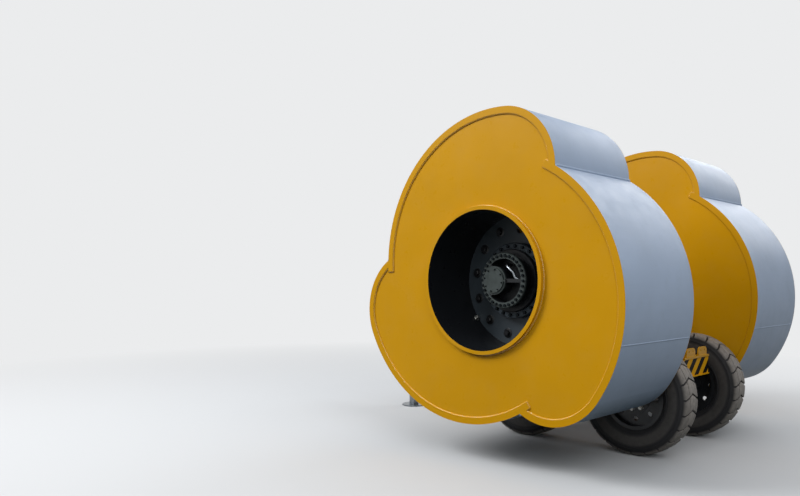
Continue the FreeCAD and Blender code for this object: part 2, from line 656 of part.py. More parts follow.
def lift_base():
    """Two plates inside the rails that carry the base pin of both lift cylinders."""
    solids = []
    x = CYLINDER_BASE_X
    z = CYLINDER_BASE_HEIGHT
    for side in (-1, 1):
        y0, y1 = sorted((side * RAIL_INNER_Y, side * (RAIL_INNER_Y - BASE_PLATE_THICKNESS)))
        seat = RAIL_BOTTOM + BASE_PLATE_SEAT
        top = seat + BASE_PLATE_RISE
        outline = [(x - EYE_RADIUS, z), (x + EYE_RADIUS, z), (x + BASE_PLATE_HALF, seat),
                   (x + BASE_PLATE_HALF, top), (x - BASE_PLATE_HALF, top), (x - BASE_PLATE_HALF, seat)]
        solids.append(side_plate(outline, y0, y1))
        solids.append(rod_y(EYE_RADIUS, y0, y1, x, z))
    solids.append(rod_y(CYLINDER_PIN_RADIUS, -RAIL_INNER_Y, RAIL_INNER_Y, x, z))
    return fused(solids)


def rear_cover():
    """The plate across the rail ends, its lower edge folded backwards."""
    back = RAIL_REAR_X - COVER_THICKNESS
    half = COVER_HALF_WIDTH
    face = box(back, RAIL_REAR_X, -half, half, RAIL_BOTTOM, RAIL_TOP)
    lip = box(back - COVER_LIP, back, -half, half, RAIL_BOTTOM, RAIL_BOTTOM + COVER_THICKNESS)
    return fused([face, lip])


def rear_top_plate():
    """The plate over the rear end with its two rounded lugs."""
    x0 = RAIL_REAR_X - COVER_THICKNESS - TOP_PLATE_OVERHANG
    base = RAIL_TOP + TOP_PLATE_THICKNESS
    solids = [box(x0, x0 + TOP_PLATE_DEPTH, -COVER_HALF_WIDTH, COVER_HALF_WIDTH, RAIL_TOP, base)]
    holes = []
    foot = x0 + LUG_SETBACK
    half = LUG_WIDTH / 2
    for middle in (-LUG_SPACING / 2, LUG_SPACING / 2):
        lug = box(foot, foot + LUG_THICKNESS, middle - half, middle + half, base, base + LUG_HEIGHT)
        top_edges = [e for e in lug.Edges if abs(e.tangentAt(0).x) > 0.9
                     and e.CenterOfMass.z > base + LUG_HEIGHT - 1.0]
        solids.append(lug.makeFillet(LUG_CORNER, top_edges))
        for offset in (-LUG_HOLE_SPACING / 2, LUG_HOLE_SPACING / 2):
            start = V(foot, middle + offset, base + LUG_HEIGHT * LUG_HOLE_SHARE)
            holes.append(Part.makeCylinder(LUG_HOLE_RADIUS, LUG_THICKNESS, start, V(1, 0, 0)))
    return fused(solids).cut(Part.makeCompound(holes))


def drawbar():
    """Two box beams that close in on the tongue, behind a front plate across the rails."""
    z0 = DRAWBAR_Z - DRAWBAR_HEIGHT / 2
    z1 = DRAWBAR_Z + DRAWBAR_HEIGHT / 2
    start = RAIL_FRONT_X + DRAWBAR_PLATE
    plate_half = RAIL_OUTER_Y + FRONT_PLATE_OVERHANG
    solids = [box(RAIL_FRONT_X, start, -plate_half, plate_half,
                  RAIL_BOTTOM - FRONT_PLATE_RISE, RAIL_TOP + FRONT_PLATE_RISE)]
    for side in (-1, 1):
        solids.append(flat_plate([
            (start, side * RAIL_OUTER_Y), (DRAWBAR_TIP_X, side * (DRAWBAR_TIP_Y + DRAWBAR_WIDTH / 2)),
            (DRAWBAR_TIP_X, side * (DRAWBAR_TIP_Y - DRAWBAR_WIDTH / 2)),
            (start, side * (RAIL_OUTER_Y - DRAWBAR_WIDTH)),
        ], z0, z1))
        edge = side * (RAIL_OUTER_Y - DRAWBAR_WIDTH / 2)
        for rise in (z0 - TIP_PLATE_THICKNESS, z1):
            gusset = [(start, edge), (start + GUSSET_LENGTH, edge), (start, edge - side * GUSSET_WIDTH)]
            solids.append(flat_plate(gusset, rise, rise + TIP_PLATE_THICKNESS))
    outer_tip = DRAWBAR_TIP_Y + DRAWBAR_WIDTH / 2
    solids.append(box(DRAWBAR_TIP_X, DRAWBAR_TIP_X + DRAWBAR_PLATE, -outer_tip, outer_tip, z0, z1))
    back = DRAWBAR_TIP_X - TIP_PLATE_LENGTH
    front = DRAWBAR_TIP_X + PLATE_INSET
    front_half = outer_tip - PLATE_INSET
    back_half = drawbar_half_width(back) - PLATE_INSET
    for rise in (z0 - TIP_PLATE_THICKNESS, z1):
        corners = [(back, -back_half), (front, -front_half), (front, front_half), (back, back_half)]
        solids.append(flat_plate(corners, rise, rise + TIP_PLATE_THICKNESS))
    return fused(solids)


def flat_plate(points, z0, z1):
    """A plate lying in the XY plane from its corner points (x, y)."""
    corners = [V(x, y, z0) for x, y in points]
    return Part.Face(Part.makePolygon(corners + corners[:1])).extrude(V(0, 0, z1 - z0))


def tow_eye():
    """The forged ring at the drawbar's tip, with its shank and flange."""
    z0 = DRAWBAR_Z - TOW_EYE_THICKNESS / 2
    z1 = DRAWBAR_Z + TOW_EYE_THICKNESS / 2
    seat = DRAWBAR_TIP_X + DRAWBAR_PLATE
    half = TOW_SHANK_WIDTH / 2
    ring = Part.makeCylinder(TOW_EYE_OUTER_RADIUS, z1 - z0, V(TOW_EYE_X, 0, z0))
    forged = fused([ring, box(seat, TOW_EYE_X, -half, half, z0, z1)])
    rims = [e for e in forged.Edges if e.BoundBox.ZLength < 1.0 and e.BoundBox.XMin > seat + 1.0]
    forged = forged.makeFillet(TOW_EYE_FILLET, rims)
    flange = box(seat, seat + TOW_FLANGE, -TOW_FLANGE_WIDTH / 2, TOW_FLANGE_WIDTH / 2,
                 DRAWBAR_Z - TOW_FLANGE_HEIGHT / 2, DRAWBAR_Z + TOW_FLANGE_HEIGHT / 2)
    bore = Part.makeCylinder(TOW_EYE_BORE_RADIUS, z1 - z0, V(TOW_EYE_X, 0, z0))
    return fused([forged, flange]).cut(bore)


def drawbar_half_width(x):
    """Outer half width of the drawbar at a place along it."""
    start = RAIL_FRONT_X + DRAWBAR_PLATE
    share = (x - start) / (DRAWBAR_TIP_X - start)
    return RAIL_OUTER_Y + share * (DRAWBAR_TIP_Y + DRAWBAR_WIDTH / 2 - RAIL_OUTER_Y)


def jack_pieces():
    """The parking jack: a square sleeve on the drawbar's left side and a leg with a round foot in it."""
    half = JACK_SLEEVE / 2
    y = drawbar_half_width(JACK_X - half) + half + JACK_GAP
    inner = JACK_LEG / 2 + SLIDE_CLEARANCE
    sleeve = box(JACK_X - half, JACK_X + half, y - half, y + half, JACK_SLEEVE_BOTTOM, JACK_SLEEVE_TOP)
    sleeve = sleeve.cut(box(JACK_X - inner, JACK_X + inner, y - inner, y + inner,
                            JACK_SLEEVE_BOTTOM, JACK_SLEEVE_TOP - JACK_ROOF))
    edge = drawbar_half_width(JACK_X + half) - JACK_BRACKET_BITE
    bracket = box(JACK_X - half, JACK_X + half, edge, y - half,
                  DRAWBAR_Z - JACK_BRACKET_HALF, DRAWBAR_Z + JACK_BRACKET_HALF)
    bracket = bracket.cut(drawbar())
    sleeve = fused([sleeve, bracket] + jack_head(y))
    leg_half = JACK_LEG / 2
    leg = box(JACK_X - leg_half, JACK_X + leg_half, y - leg_half, y + leg_half,
              JACK_FOOT_THICKNESS, JACK_SLEEVE_BOTTOM + JACK_LEG_HIDDEN)
    foot = Part.makeCylinder(JACK_FOOT_RADIUS, JACK_FOOT_THICKNESS, V(JACK_X, y, 0))
    return sleeve, fused([leg, foot])


def jack_head(y):
    """The gear head on the jack's sleeve with its crank, which hangs down."""
    reach = JACK_HEAD / 2
    head = box(JACK_X - reach, JACK_X + reach, y - reach, y + reach,
               JACK_SLEEVE_TOP, JACK_SLEEVE_TOP + JACK_HEAD_HEIGHT)
    z = JACK_SLEEVE_TOP + JACK_HEAD_HEIGHT / 2
    bend = y + reach + JACK_HEAD_HEIGHT
    low = z - CRANK_ARM
    turn = CRANK_BEND
    corner = turn * (1 - math.sqrt(0.5))
    path = Part.Wire([
        Part.makeLine(V(JACK_X, y, z), V(JACK_X, bend - turn, z)),
        Part.Arc(V(JACK_X, bend - turn, z), V(JACK_X, bend - corner, z - corner),
                 V(JACK_X, bend, z - turn)).toShape(),
        Part.makeLine(V(JACK_X, bend, z - turn), V(JACK_X, bend, low + turn)),
        Part.Arc(V(JACK_X, bend, low + turn), V(JACK_X, bend + corner, low + corner),
                 V(JACK_X, bend + turn, low)).toShape(),
        Part.makeLine(V(JACK_X, bend + turn, low), V(JACK_X, bend + CRANK_GRIP, low)),
    ])
    section = Part.Wire(Part.makeCircle(CRANK_RADIUS, V(JACK_X, y, z), V(0, 1, 0)))
    rod = path.makePipeShell([section], True, True)
    grip = rod_y(CRANK_GRIP_RADIUS, bend + turn, bend + CRANK_GRIP + CRANK_RADIUS, JACK_X, low)
    return [head, rod, grip]


def buffers():
    """Rubber blocks on the rails under the cross tube, where the lowered arms come to rest."""
    centre = on_arm(CROSS_TUBE_REACH, CROSS_TUBE_RISE)
    low = lowered(centre)
    top = low.z - CROSS_TUBE_RADIUS - BUFFER_GAP
    solids = []
    for side in (-1, 1):
        y = side * (RAIL_INNER_Y + RAIL_WIDTH / 2)
        solids.append(Part.makeCylinder(BUFFER_RADIUS, top - RAIL_TOP, V(low.x, y, RAIL_TOP)))
    return Part.makeCompound(solids)


def all_pieces():
    pieces = {}
    for name, shape in drum_pieces().items():
        pieces[name + "_left"] = shape
        pieces[name + "_right"] = mirrored(shape)
    pieces["drum_axle"] = drum_axle()
    for name, shape in lift_arm_pieces().items():
        pieces[name + "_left"] = shape
        pieces[name + "_right"] = mirrored(shape)
    pieces["lift_cross_tube"] = cross_tube()
    for side, y in (("left", CYLINDER_Y), ("right", -CYLINDER_Y)):
        barrel, rod = lift_cylinder(y)
        pieces["cylinder_barrel_" + side] = barrel
        pieces["cylinder_rod_" + side] = rod
    left_rail = rail()
    pieces["rail_left"] = left_rail
    pieces["rail_right"] = mirrored(left_rail)
    pieces["cross_members"] = cross_members()
    pieces["pivot_pin"] = pivot_pin()
    pieces["pivot_washers"] = pivot_washers()
    pieces["lift_base"] = lift_base()
    pieces["buffers"] = buffers()
    pieces["rear_cover"] = rear_cover()
    pieces["rear_top_plate"] = rear_top_plate()
    pieces["drawbar"] = drawbar()
    pieces["tow_eye"] = tow_eye()
    sleeve, leg = jack_pieces()
    pieces["jack_sleeve"] = sleeve
    pieces["jack_leg"] = leg
    for end, x in (("front", FRONT_WHEEL_X), ("rear", REAR_WHEEL_X)):
        pieces["axle_beam_" + end] = axle_beam(x)
        for name, shape in (("tyre_", tyre(x)), ("rim_", rim(x))):
            pieces[name + end + "_left"] = shape
            pieces[name + end + "_right"] = mirrored(shape)
    return pieces


def main():
    os.makedirs("parts", exist_ok=True)
    pieces = all_pieces()
    extent = FreeCAD.BoundBox()
    for shape in pieces.values():
        extent.add(shape.optimalBoundingBox(False))
    middle = (extent.XMin + extent.XMax) / 2
    print("moved along X by", round(-middle, 3), "size", extent)
    for name, shape in pieces.items():
        shape.translate(V(-middle, 0, 0))
        shape.exportStep("parts/" + name + ".step")


main()
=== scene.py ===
import json
from math import atan2, cos, hypot, radians, sin, sqrt, tau

import bmesh
import bpy
from mathutils import Matrix, Vector


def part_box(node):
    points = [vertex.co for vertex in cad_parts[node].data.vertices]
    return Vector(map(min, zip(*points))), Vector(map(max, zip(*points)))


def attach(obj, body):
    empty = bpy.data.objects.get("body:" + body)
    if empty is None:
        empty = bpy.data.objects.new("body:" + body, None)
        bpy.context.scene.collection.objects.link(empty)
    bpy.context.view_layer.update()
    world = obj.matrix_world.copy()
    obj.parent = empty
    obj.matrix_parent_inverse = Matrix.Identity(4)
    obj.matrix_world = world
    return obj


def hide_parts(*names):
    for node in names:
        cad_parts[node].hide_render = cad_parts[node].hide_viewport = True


bl_info = {
    "name": "Towed impact roller",
    "version": (1, 0, 0),
    "blender": (4, 5, 0),
    "location": "3D View > Sidebar > Roller",
    "description": "Treads, bolts, welds and paint for the packed model of a towed impact roller",
    "category": "Object",
}

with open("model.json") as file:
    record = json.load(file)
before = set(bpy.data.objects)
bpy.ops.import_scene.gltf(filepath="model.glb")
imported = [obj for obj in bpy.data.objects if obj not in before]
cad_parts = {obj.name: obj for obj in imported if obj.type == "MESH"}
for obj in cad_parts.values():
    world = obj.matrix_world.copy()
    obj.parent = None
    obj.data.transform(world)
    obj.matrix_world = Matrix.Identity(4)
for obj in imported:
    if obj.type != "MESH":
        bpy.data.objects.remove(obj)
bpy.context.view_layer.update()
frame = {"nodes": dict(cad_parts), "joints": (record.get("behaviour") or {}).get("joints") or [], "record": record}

MM = 0.001
SIDES = {"left": 1, "right": -1}
ENDS = ("front", "rear")
PLACES = {joint["name"]: Vector(joint["pos_m"]) for joint in frame["joints"] if "pos_m" in joint}
DRUM_CENTRE = PLACES["drums_turn"]
PIVOT = PLACES["lift"]

# Sizes of the solids in millimetres; on the chassis, X counts forwards from the lift pivot
LOBES = 3
NOTCH_RADIUS = 875.0
CLIMB_RADIUS = 963.0
NOSE_RADIUS = 407.0
CLIMB_TILT = radians(-8.1)
NOTCH_ANGLE = radians(38.7)
SHELL_WALL = 42.0
SHELL_SEAM = 1.11
NOTCH_TAIL = 80.0
DRUM_INNER_Y = 580.0
DRUM_OUTER_Y = 1480.0
PLATE_RECESS = 10.0
TUBE_BORE_RADIUS = 450.0
TUBE_OUTER_RADIUS = 475.0
DISC_Y = 1070.0
DISC_PLACES = 13
DISC_BOLT_REACH = 375.0
HUB_BASE_Y = 1145.0
HUB_FACE_BACK_Y = 1231.0
HUB_FACE_Y = 1255.0
HUB_CAP_Y = 1265.0
HUB_CAP_OFFSET = 76.0
HUB_WINDOW_RADIUS = 147.0
HUB_BOSS_RADIUS = 97.0
HOUSING_FLANGE_Y = 326.0
PIN_END_Y = 322.0
ARM_INNER_Y = 250.0
CROSS_TUBE_RADIUS = 45.0
CROSS_TUBE_REACH = 500.0
CROSS_TUBE_RISE = 98.0
RAIL_INNER_Y = 140.0
RAIL_OUTER_Y = 210.0
RAIL_CORNER = 9.0
RAIL_FRONT = 110.0
CROSS_MEMBER_BACKS = (-1740.0, -1430.0, -149.0)
CROSS_MEMBER_WIDTH = 90.0
AXLE_BEAM_HALF = 45.0
SADDLE_FOOT_Z = 445.0
DRAWBAR_START = 130.0
DRAWBAR_TIP = 1230.0
DRAWBAR_TIP_HALF = 88.0
DRAWBAR_HALF_HEIGHT = 70.0
TIP_PLATE_BACK = 890.0
TIP_PLATE_FRONT = 1236.0
TIP_PLATE_INSET = 6.0
LIP_HEIGHT = 9.0
REAR_LUGS = (-100.0, 100.0)
REAR_LUG_HALF = 72.0
REAR_LUG_FOOT = 14.0
REAR_LUG_FACES = (4.0, 14.0)
TYRE_RADIUS = 400.0
WHEEL_DISC_W = 34.0
WHEEL_FLANGE_W = 42.0
WHEEL_CAP_W = 70.0

# Sizes of the added pieces in millimetres
SHELL_WELD_INSET = 3.0
LIFT_WELD = 5.0
CHASSIS_WELD = 4.0
PIPE_RADIUS = 10.0
PLUG_Y = 1092.0
PLUG_TURN = radians(-53)
TREAD_HALF = 88.0
TREAD_DROP = 9.0
BLOCK_CHAMFER = 1.8
BLOCK_SPREAD = 1.6
BLOCK_SINK = 2.0
SHOULDER_SINK = 16.0
SHOULDER_FOOT = 7.0
SOILED_WALL = (271.0, 323.0)
SOILED_WALL_SHARE = 0.16
NUT_REACH = 82.0
CAP_BOLT_REACH = 42.0
VALVE_REACH = 120.0
VALVE = ((5.0, -2.0), (5.0, 20.0), (4.0, 22.0), (4.0, 38.0), (3.0, 39.0))
M20_HEAD = (30.0, 17.0)
HOUSING_BOLT_REACH = 134.0
PIN_PLATE = ((38.0, 0.0), (38.0, 7.0), (36.0, 8.0))
PIN_BOLT_REACH = 20.0
EYE_FLANGE_WALL = 20.0
EYE_BOLTS = [(y, z) for y in (-56.0, 56.0) for z in (-46.0, 46.0)]

# In millimetres; orange peel in sprayed enamel is 2 to 4 mm across, drawn coarser so that it shows
ORANGE_PEEL = 7.0

# The stage, in metres; each soft lamp has its name, place, side and power in watts
BACKDROP = "#EBECED"
WORLD_LEVELS = (0.2, 0.95)
FLOOR_RADIUS = 60.0
FLOOR_FADE = (2.5, 7.5)
LAMP_AIM = Vector((-0.5, 0.0, 1.0))
LAMPS = (
    ("key", (5.0, 7.5, 7.5), 5.0, 1060.0),
    ("rear", (-6.0, 5.5, 5.0), 5.0, 240.0),
    ("fill", (-1.0, -7.5, 5.5), 5.0, 280.0),
)

# The photograph's camera: focal length and middle of view in pixels, turns in degrees, place from the drums
PICTURE = (800.0, 496.0)
FOCAL_PIXELS = 728.2
VIEW_MIDDLE = (450.7, 300.2)
SENSOR_MM = 36.0
YAW, PITCH, ROLL = (radians(turn) for turn in (-48.24, -1.90, 0.61))
CAMERA_PLACE = Vector((-2.957, 5.084, 0.026))


def linear(code):
    """Turns an sRGB hex colour into the linear values that shaders take."""
    parts = [int(code[i:i + 2], 16) / 255 for i in (1, 3, 5)]
    values = [c / 12.92 if c <= 0.04045 else ((c + 0.055) / 1.055) ** 2.4 for c in parts]
    return (*values, 1.0)


def shade(colour, factor):
    """The same colour lighter or darker."""
    return (*[min(c * factor, 1.0) for c in colour[:3]], 1.0)


def add(tree, kind, sockets=None, **settings):
    """Adds a node with its settings, and fills its inputs with values, sockets or nodes' first outputs."""
    node = tree.nodes.new(kind)
    for key, value in settings.items():
        setattr(node, key, value)
    for key, value in (sockets or {}).items():
        if isinstance(value, bpy.types.Node):
            value = value.outputs[0]
        if isinstance(value, bpy.types.NodeSocket):
            tree.links.new(value, node.inputs[key])
        else:
            node.inputs[key].default_value = value
    return node


# Finishes

def opened(material):
    """A finish's node tree, its shader, and where a point lies on the machine."""
    tree = material.node_tree
    return tree, tree.nodes["Principled BSDF"], add(tree, "ShaderNodeTexCoord").outputs["Object"]


def new_finish(name):
    material = bpy.data.materials.new(name)
    material.use_nodes = True
    return material, *opened(material)


def pattern(tree, where, size_mm, low=0.0, high=1.0, start=0.3, end=0.7, detail=3.0, roughness=0.5,
            stretch=None):
    """Blots about size_mm across, stretched along an axis if asked, as a value from low to high."""
    if stretch:
        where = add(tree, "ShaderNodeMapping", {"Vector": where, "Scale": stretch}).outputs["Vector"]
    blots = add(tree, "ShaderNodeTexNoise", {
        "Vector": where, "Scale": 1000.0 / size_mm, "Detail": detail, "Roughness": roughness})
    return add(tree, "ShaderNodeMapRange", {
        "Value": blots.outputs["Fac"], "From Min": start, "From Max": end, "To Min": low, "To Max": high,
    }).outputs["Result"]


def mottled(tree, where, size_mm, first, second, most=1.0, **blots):
    """Lets a second colour show over the first in blots, up to a share of it."""
    share = pattern(tree, where, size_mm, high=most, **blots)
    return add(tree, "ShaderNodeMix", {0: share, 6: first, 7: second}, data_type="RGBA").outputs[2]


def painted_over(tree, shader, mask, colour):
    """Paints a colour over the finish where the mask is 1."""
    under = shader.inputs["Base Color"].links[0].from_socket
    both = add(tree, "ShaderNodeMix", {0: mask, 6: under, 7: colour}, data_type="RGBA")
    tree.links.new(both.outputs[2], shader.inputs["Base Color"])


def side_distance(tree, where):
    """How far a point lies from the machine's middle, to either side."""
    parts = add(tree, "ShaderNodeSeparateXYZ", {"Vector": where})
    return add(tree, "ShaderNodeMath", {0: parts.outputs["Y"]}, operation="ABSOLUTE")


def axle_distance(tree, where, ahead_mm=0.0):
    """How far a point lies from the drums' axle, or from a line that far ahead of it."""
    centre = DRUM_CENTRE + Vector((ahead_mm * MM, 0.0, 0.0))
    centred = add(tree, "ShaderNodeMapping", {"Vector": where, "Location": -centre})
    flat = add(tree, "ShaderNodeVectorMath", {0: centred, 1: (1.0, 0.0, 1.0)}, operation="MULTIPLY")
    return add(tree, "ShaderNodeVectorMath", {0: flat}, operation="LENGTH").outputs["Value"]


def surfaced(tree, shader, colour, roughness, shine, relief, depth_mm, strength):
    """Gives the shader its colour, roughness and specular level, and a relief of the given depth."""
    bump = add(tree, "ShaderNodeBump", {"Height": relief, "Distance": depth_mm * MM, "Strength": strength})
    tree.links.new(colour, shader.inputs["Base Color"])
    tree.links.new(roughness, shader.inputs["Roughness"])
    tree.links.new(bump.outputs["Normal"], shader.inputs["Normal"])
    shader.inputs["Specular IOR Level"].default_value = shine


def sprayed_enamel(name, colour, gloss=0.3, shine=0.12, dust=0.03):
    """Alkyd enamel sprayed on plate: an even film with orange peel in its gloss, and a little dust."""
    material, tree, shader, where = new_finish(name)
    film = mottled(tree, where, 420.0, shade(colour, 0.96), shade(colour, 1.04))
    soil = shade(linear("#B9AE98"), sum(colour[:3]) * 0.9 + 0.1)
    dusty = mottled(tree, where, 150.0, film, soil, dust, start=0.45, end=0.75, detail=5.0, roughness=0.6)
    worn = pattern(tree, where, 60.0, gloss - 0.04, gloss + 0.08, detail=4.0, roughness=0.6)
    peel = pattern(tree, where, ORANGE_PEEL, start=0.0, end=1.0, detail=2.0)
    surfaced(tree, shader, dusty, worn, shine, peel, 0.2, 0.3)
    return material


def rolled_plate_enamel(name, colour, edge_colour):
    """Satin enamel on rolled plate: faint marks of the rolls across the drum, rubbed streaks and dust.

    The cut edges of the plate have the colour of the side plates.
    """
    material, tree, shader, where = new_finish(name)
    across = (1.0, 0.06, 1.0)
    film = mottled(tree, where, 500.0, shade(colour, 0.94), shade(colour, 1.06))
    rubbed = mottled(tree, where, 35.0, film, shade(colour, 1.18), 0.15, start=0.5, end=0.8, roughness=0.6,
                     stretch=across)
    dusty = mottled(tree, where, 90.0, rubbed, linear("#8C8F8E"), 0.12, start=0.55, end=0.8, detail=5.0,
                    roughness=0.65)
    gloss = pattern(tree, where, 90.0, 0.36, 0.5, detail=5.0, roughness=0.65)
    # roll marks lie a few millimetres apart, drawn at 35 mm so that they show
    rolls = pattern(tree, where, 35.0, start=0.0, end=1.0, roughness=0.6, stretch=across)
    surfaced(tree, shader, dusty, gloss, 0.1, rolls, 0.5, 0.25)
    middle = (DRUM_INNER_Y + DRUM_OUTER_Y) / 2
    limit = (DRUM_OUTER_Y - DRUM_INNER_Y) / 2 - 2.5
    aside = side_distance(tree, where)
    offset = add(tree, "ShaderNodeMath", {0: aside, 1: middle * MM}, operation="SUBTRACT")
    reach = add(tree, "ShaderNodeMath", {0: offset}, operation="ABSOLUTE")
    on_edge = add(tree, "ShaderNodeMath", {0: reach, 1: limit * MM}, operation="GREATER_THAN")
    painted_over(tree, shader, on_edge, edge_colour)
    return material


def two_colour_enamel(name, yellow, black):
    """Enamel on the hub tube: black inside the bore, yellow on the rim that stands out of the plate."""
    material = sprayed_enamel(name, yellow)
    tree, shader, where = opened(material)
    bore = (TUBE_BORE_RADIUS + 1.0) * MM
    inside = add(tree, "ShaderNodeMath", {0: axle_distance(tree, where), 1: bore}, operation="LESS_THAN")
    painted_over(tree, shader, inside, black)
    return material


def cast_iron(name, colour):
    """Grey iron casting under a thin coat: a grain of sand marks and dull, oily patches."""
    material, tree, shader, where = new_finish(name)
    base = mottled(tree, where, 45.0, shade(colour, 0.75), shade(colour, 1.2), detail=4.0, roughness=0.6)
    gloss = pattern(tree, where, 45.0, 0.32, 0.55, detail=4.0, roughness=0.6)
    # sand marks are under 1 mm, drawn at 5 mm so that they show
    sand = pattern(tree, where, 5.0, start=0.0, end=1.0, roughness=0.7)
    surfaced(tree, shader, base, gloss, 0.25, sand, 0.4, 0.4)
    return material


def hub_enamel(name, face_colour, flange_colour, black):
    """Coated iron hub: black body, neck and rib between a grey bolting flange and a grey, oily face."""
    material = cast_iron(name, face_colour)
    tree, shader, where = opened(material)
    centre = axle_distance(tree, where)
    window = add(tree, "ShaderNodeMath", {0: centre, 1: HUB_WINDOW_RADIUS * MM}, operation="LESS_THAN")
    cap = axle_distance(tree, where, HUB_CAP_OFFSET)
    off_boss = add(tree, "ShaderNodeMath", {0: cap, 1: HUB_BOSS_RADIUS * MM}, operation="GREATER_THAN")
    rib = add(tree, "ShaderNodeMath", {0: window, 1: off_boss}, operation="MULTIPLY")
    painted_over(tree, shader, rib, black)
    aside = side_distance(tree, where)
    for limit, colour in ((HUB_FACE_BACK_Y + 9.0, black), (HUB_BASE_Y + 0.5, flange_colour)):
        inner = add(tree, "ShaderNodeMath", {0: aside, 1: limit * MM}, operation="LESS_THAN")
        painted_over(tree, shader, inner, colour)
    return material


def bright_steel(name, colour, low=0.22, high=0.42, size_mm=12.0):
    """Zinc-plated or turned steel: metallic, with handling marks that change its gloss."""
    material, tree, shader, where = new_finish(name)
    base = mottled(tree, where, size_mm, shade(colour, 0.75), shade(colour, 1.1), detail=4.0, roughness=0.65)
    gloss = pattern(tree, where, size_mm, low, high, detail=4.0, roughness=0.65)
    marks = pattern(tree, where, size_mm, detail=4.0, roughness=0.65)
    surfaced(tree, shader, base, gloss, 0.5, marks, 0.05, 0.3)
    shader.inputs["Metallic"].default_value = 1.0
    return material


def carbon_black_rubber(name, colour):
    """Vulcanised rubber: matt black, with a worn, soil-stained tread face where the attribute says."""
    material, tree, shader, where = new_finish(name)
    worn = add(tree, "ShaderNodeAttribute", attribute_name="worn").outputs["Fac"]
    base = mottled(tree, where, 28.0, shade(colour, 0.75), shade(colour, 1.35), detail=5.0, roughness=0.65)
    thick = pattern(tree, where, 28.0, 0.55, 0.95, detail=5.0, roughness=0.65)
    amount = add(tree, "ShaderNodeMath", {0: worn, 1: thick}, operation="MULTIPLY")
    gloss = pattern(tree, where, 28.0, 0.5, 0.8, detail=5.0, roughness=0.65)
    # the skin's grain is under 1 mm, drawn at 4 mm so that it shows
    grain = pattern(tree, where, 4.0, start=0.0, end=1.0, detail=2.0)
    surfaced(tree, shader, base, gloss, 0.3, grain, 0.35, 0.4)
    painted_over(tree, shader, amount, linear("#9A948E"))
    return material


def hazard_enamel(name, yellow, black, width_mm):
    """Yellow enamel with masked black stripes at 45 degrees; the folded lip below stays yellow."""
    material, tree, shader, where = new_finish(name)
    parts = add(tree, "ShaderNodeSeparateXYZ", {"Vector": where})
    total = add(tree, "ShaderNodeMath", {0: parts.outputs["Y"], 1: parts.outputs["Z"]}, operation="ADD")
    step = 2 * width_mm * MM * sqrt(2)
    counted = add(tree, "ShaderNodeMath", {0: total, 1: step}, operation="DIVIDE")
    share = add(tree, "ShaderNodeMath", {0: counted}, operation="FRACT")
    band = add(tree, "ShaderNodeMath", {0: share, 1: 0.5}, operation="GREATER_THAN")
    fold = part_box("rear_cover")[0].z + LIP_HEIGHT * MM
    above = add(tree, "ShaderNodeMath", {0: parts.outputs["Z"], 1: fold}, operation="GREATER_THAN")
    masked = add(tree, "ShaderNodeMath", {0: band, 1: above}, operation="MULTIPLY")
    stripes = add(tree, "ShaderNodeMix", {0: masked, 6: yellow, 7: black}, data_type="RGBA")
    dusty = mottled(tree, where, 40.0, stripes.outputs[2], linear("#8C8371"), 0.015, detail=4.0)
    gloss = pattern(tree, where, 40.0, 0.3, 0.45, detail=4.0)
    peel = pattern(tree, where, ORANGE_PEEL, start=0.0, end=1.0, detail=2.0)
    surfaced(tree, shader, dusty, gloss, 0.03, peel, 0.2, 0.3)
    return material


# Meshes

def shown(name, data):
    obj = bpy.data.objects.new(name, data)
    bpy.context.scene.collection.objects.link(obj)
    return obj


def removed(obj):
    mesh = obj.data
    bpy.data.objects.remove(obj)
    bpy.data.meshes.remove(mesh)


def finished(bm, name, angle=35.0):
    """A mesh with outward faces, smooth but for edges sharper than the angle."""
    bmesh.ops.remove_doubles(bm, verts=bm.verts, dist=1e-6)
    bmesh.ops.recalc_face_normals(bm, faces=bm.faces)
    for face in bm.faces:
        face.smooth = True
    mesh = bpy.data.meshes.new(name)
    bm.to_mesh(mesh)
    bm.free()
    mesh.set_sharp_from_angle(angle=radians(angle))
    return mesh


def loop_faces(bm, a, b):
    count = len(a)
    for i in range(count):
        bm.faces.new((a[i], a[(i + 1) % count], b[(i + 1) % count], b[i]))


def stacked(bm, profile, steps):
    """A closed solid along Z through (radius, height) corners in millimetres."""
    rings = []
    for radius, z in profile:
        rings.append([bm.verts.new((radius * MM * cos(tau * i / steps), radius * MM * sin(tau * i / steps),
                                    z * MM)) for i in range(steps)])
    for a, b in zip(rings, rings[1:]):
        loop_faces(bm, a, b)
    bm.faces.new(list(reversed(rings[0])))
    bm.faces.new(rings[-1])


def turned(profile, steps, name):
    bm = bmesh.new()
    stacked(bm, profile, steps)
    return finished(bm, name, 30.0)


def hexagon_bolt(across, height, washer=3.0):
    """A hexagon head with a chamfered top, on a flat washer where it has one, standing on z = 0."""
    bm = bmesh.new()
    corner = across / sqrt(3)
    top = washer + height
    stacked(bm, [(corner, washer * 0.5), (corner, top - across * 0.07), (corner * 0.86, top)], 6)
    if washer:
        wide = across * 0.9
        stacked(bm, [(wide, 0.0), (wide, washer * 0.8), (wide * 0.96, washer)], 20)
    return finished(bm, "hexagon_bolt", 25.0)


def wheel_nut(across, height, stud):
    """A coned wheel nut with the stud's end standing out of it."""
    bm = bmesh.new()
    corner = across / sqrt(3)
    pin = stud / 2
    stacked(bm, [(corner * 1.15, 0.0), (corner, height * 0.12), (corner, height * 0.85),
                 (corner * 0.82, height)], 6)
    stacked(bm, [(pin, height * 0.9), (pin, height * 1.28), (pin * 0.8, height * 1.36)], 12)
    return finished(bm, "wheel_nut", 25.0)


def facing_y(side, x, y, z=0.0):
    """Stands a piece made along Z on a plane square to Y, at a place in millimetres, Y counted outwards."""
    turn = Matrix.Rotation(radians(-90 * side), 4, "X")
    return Matrix.Translation(Vector((x, side * y, z)) * MM) @ turn


def moved(mesh, matrix):
    mesh.transform(matrix)
    return mesh


# Geometry Nodes

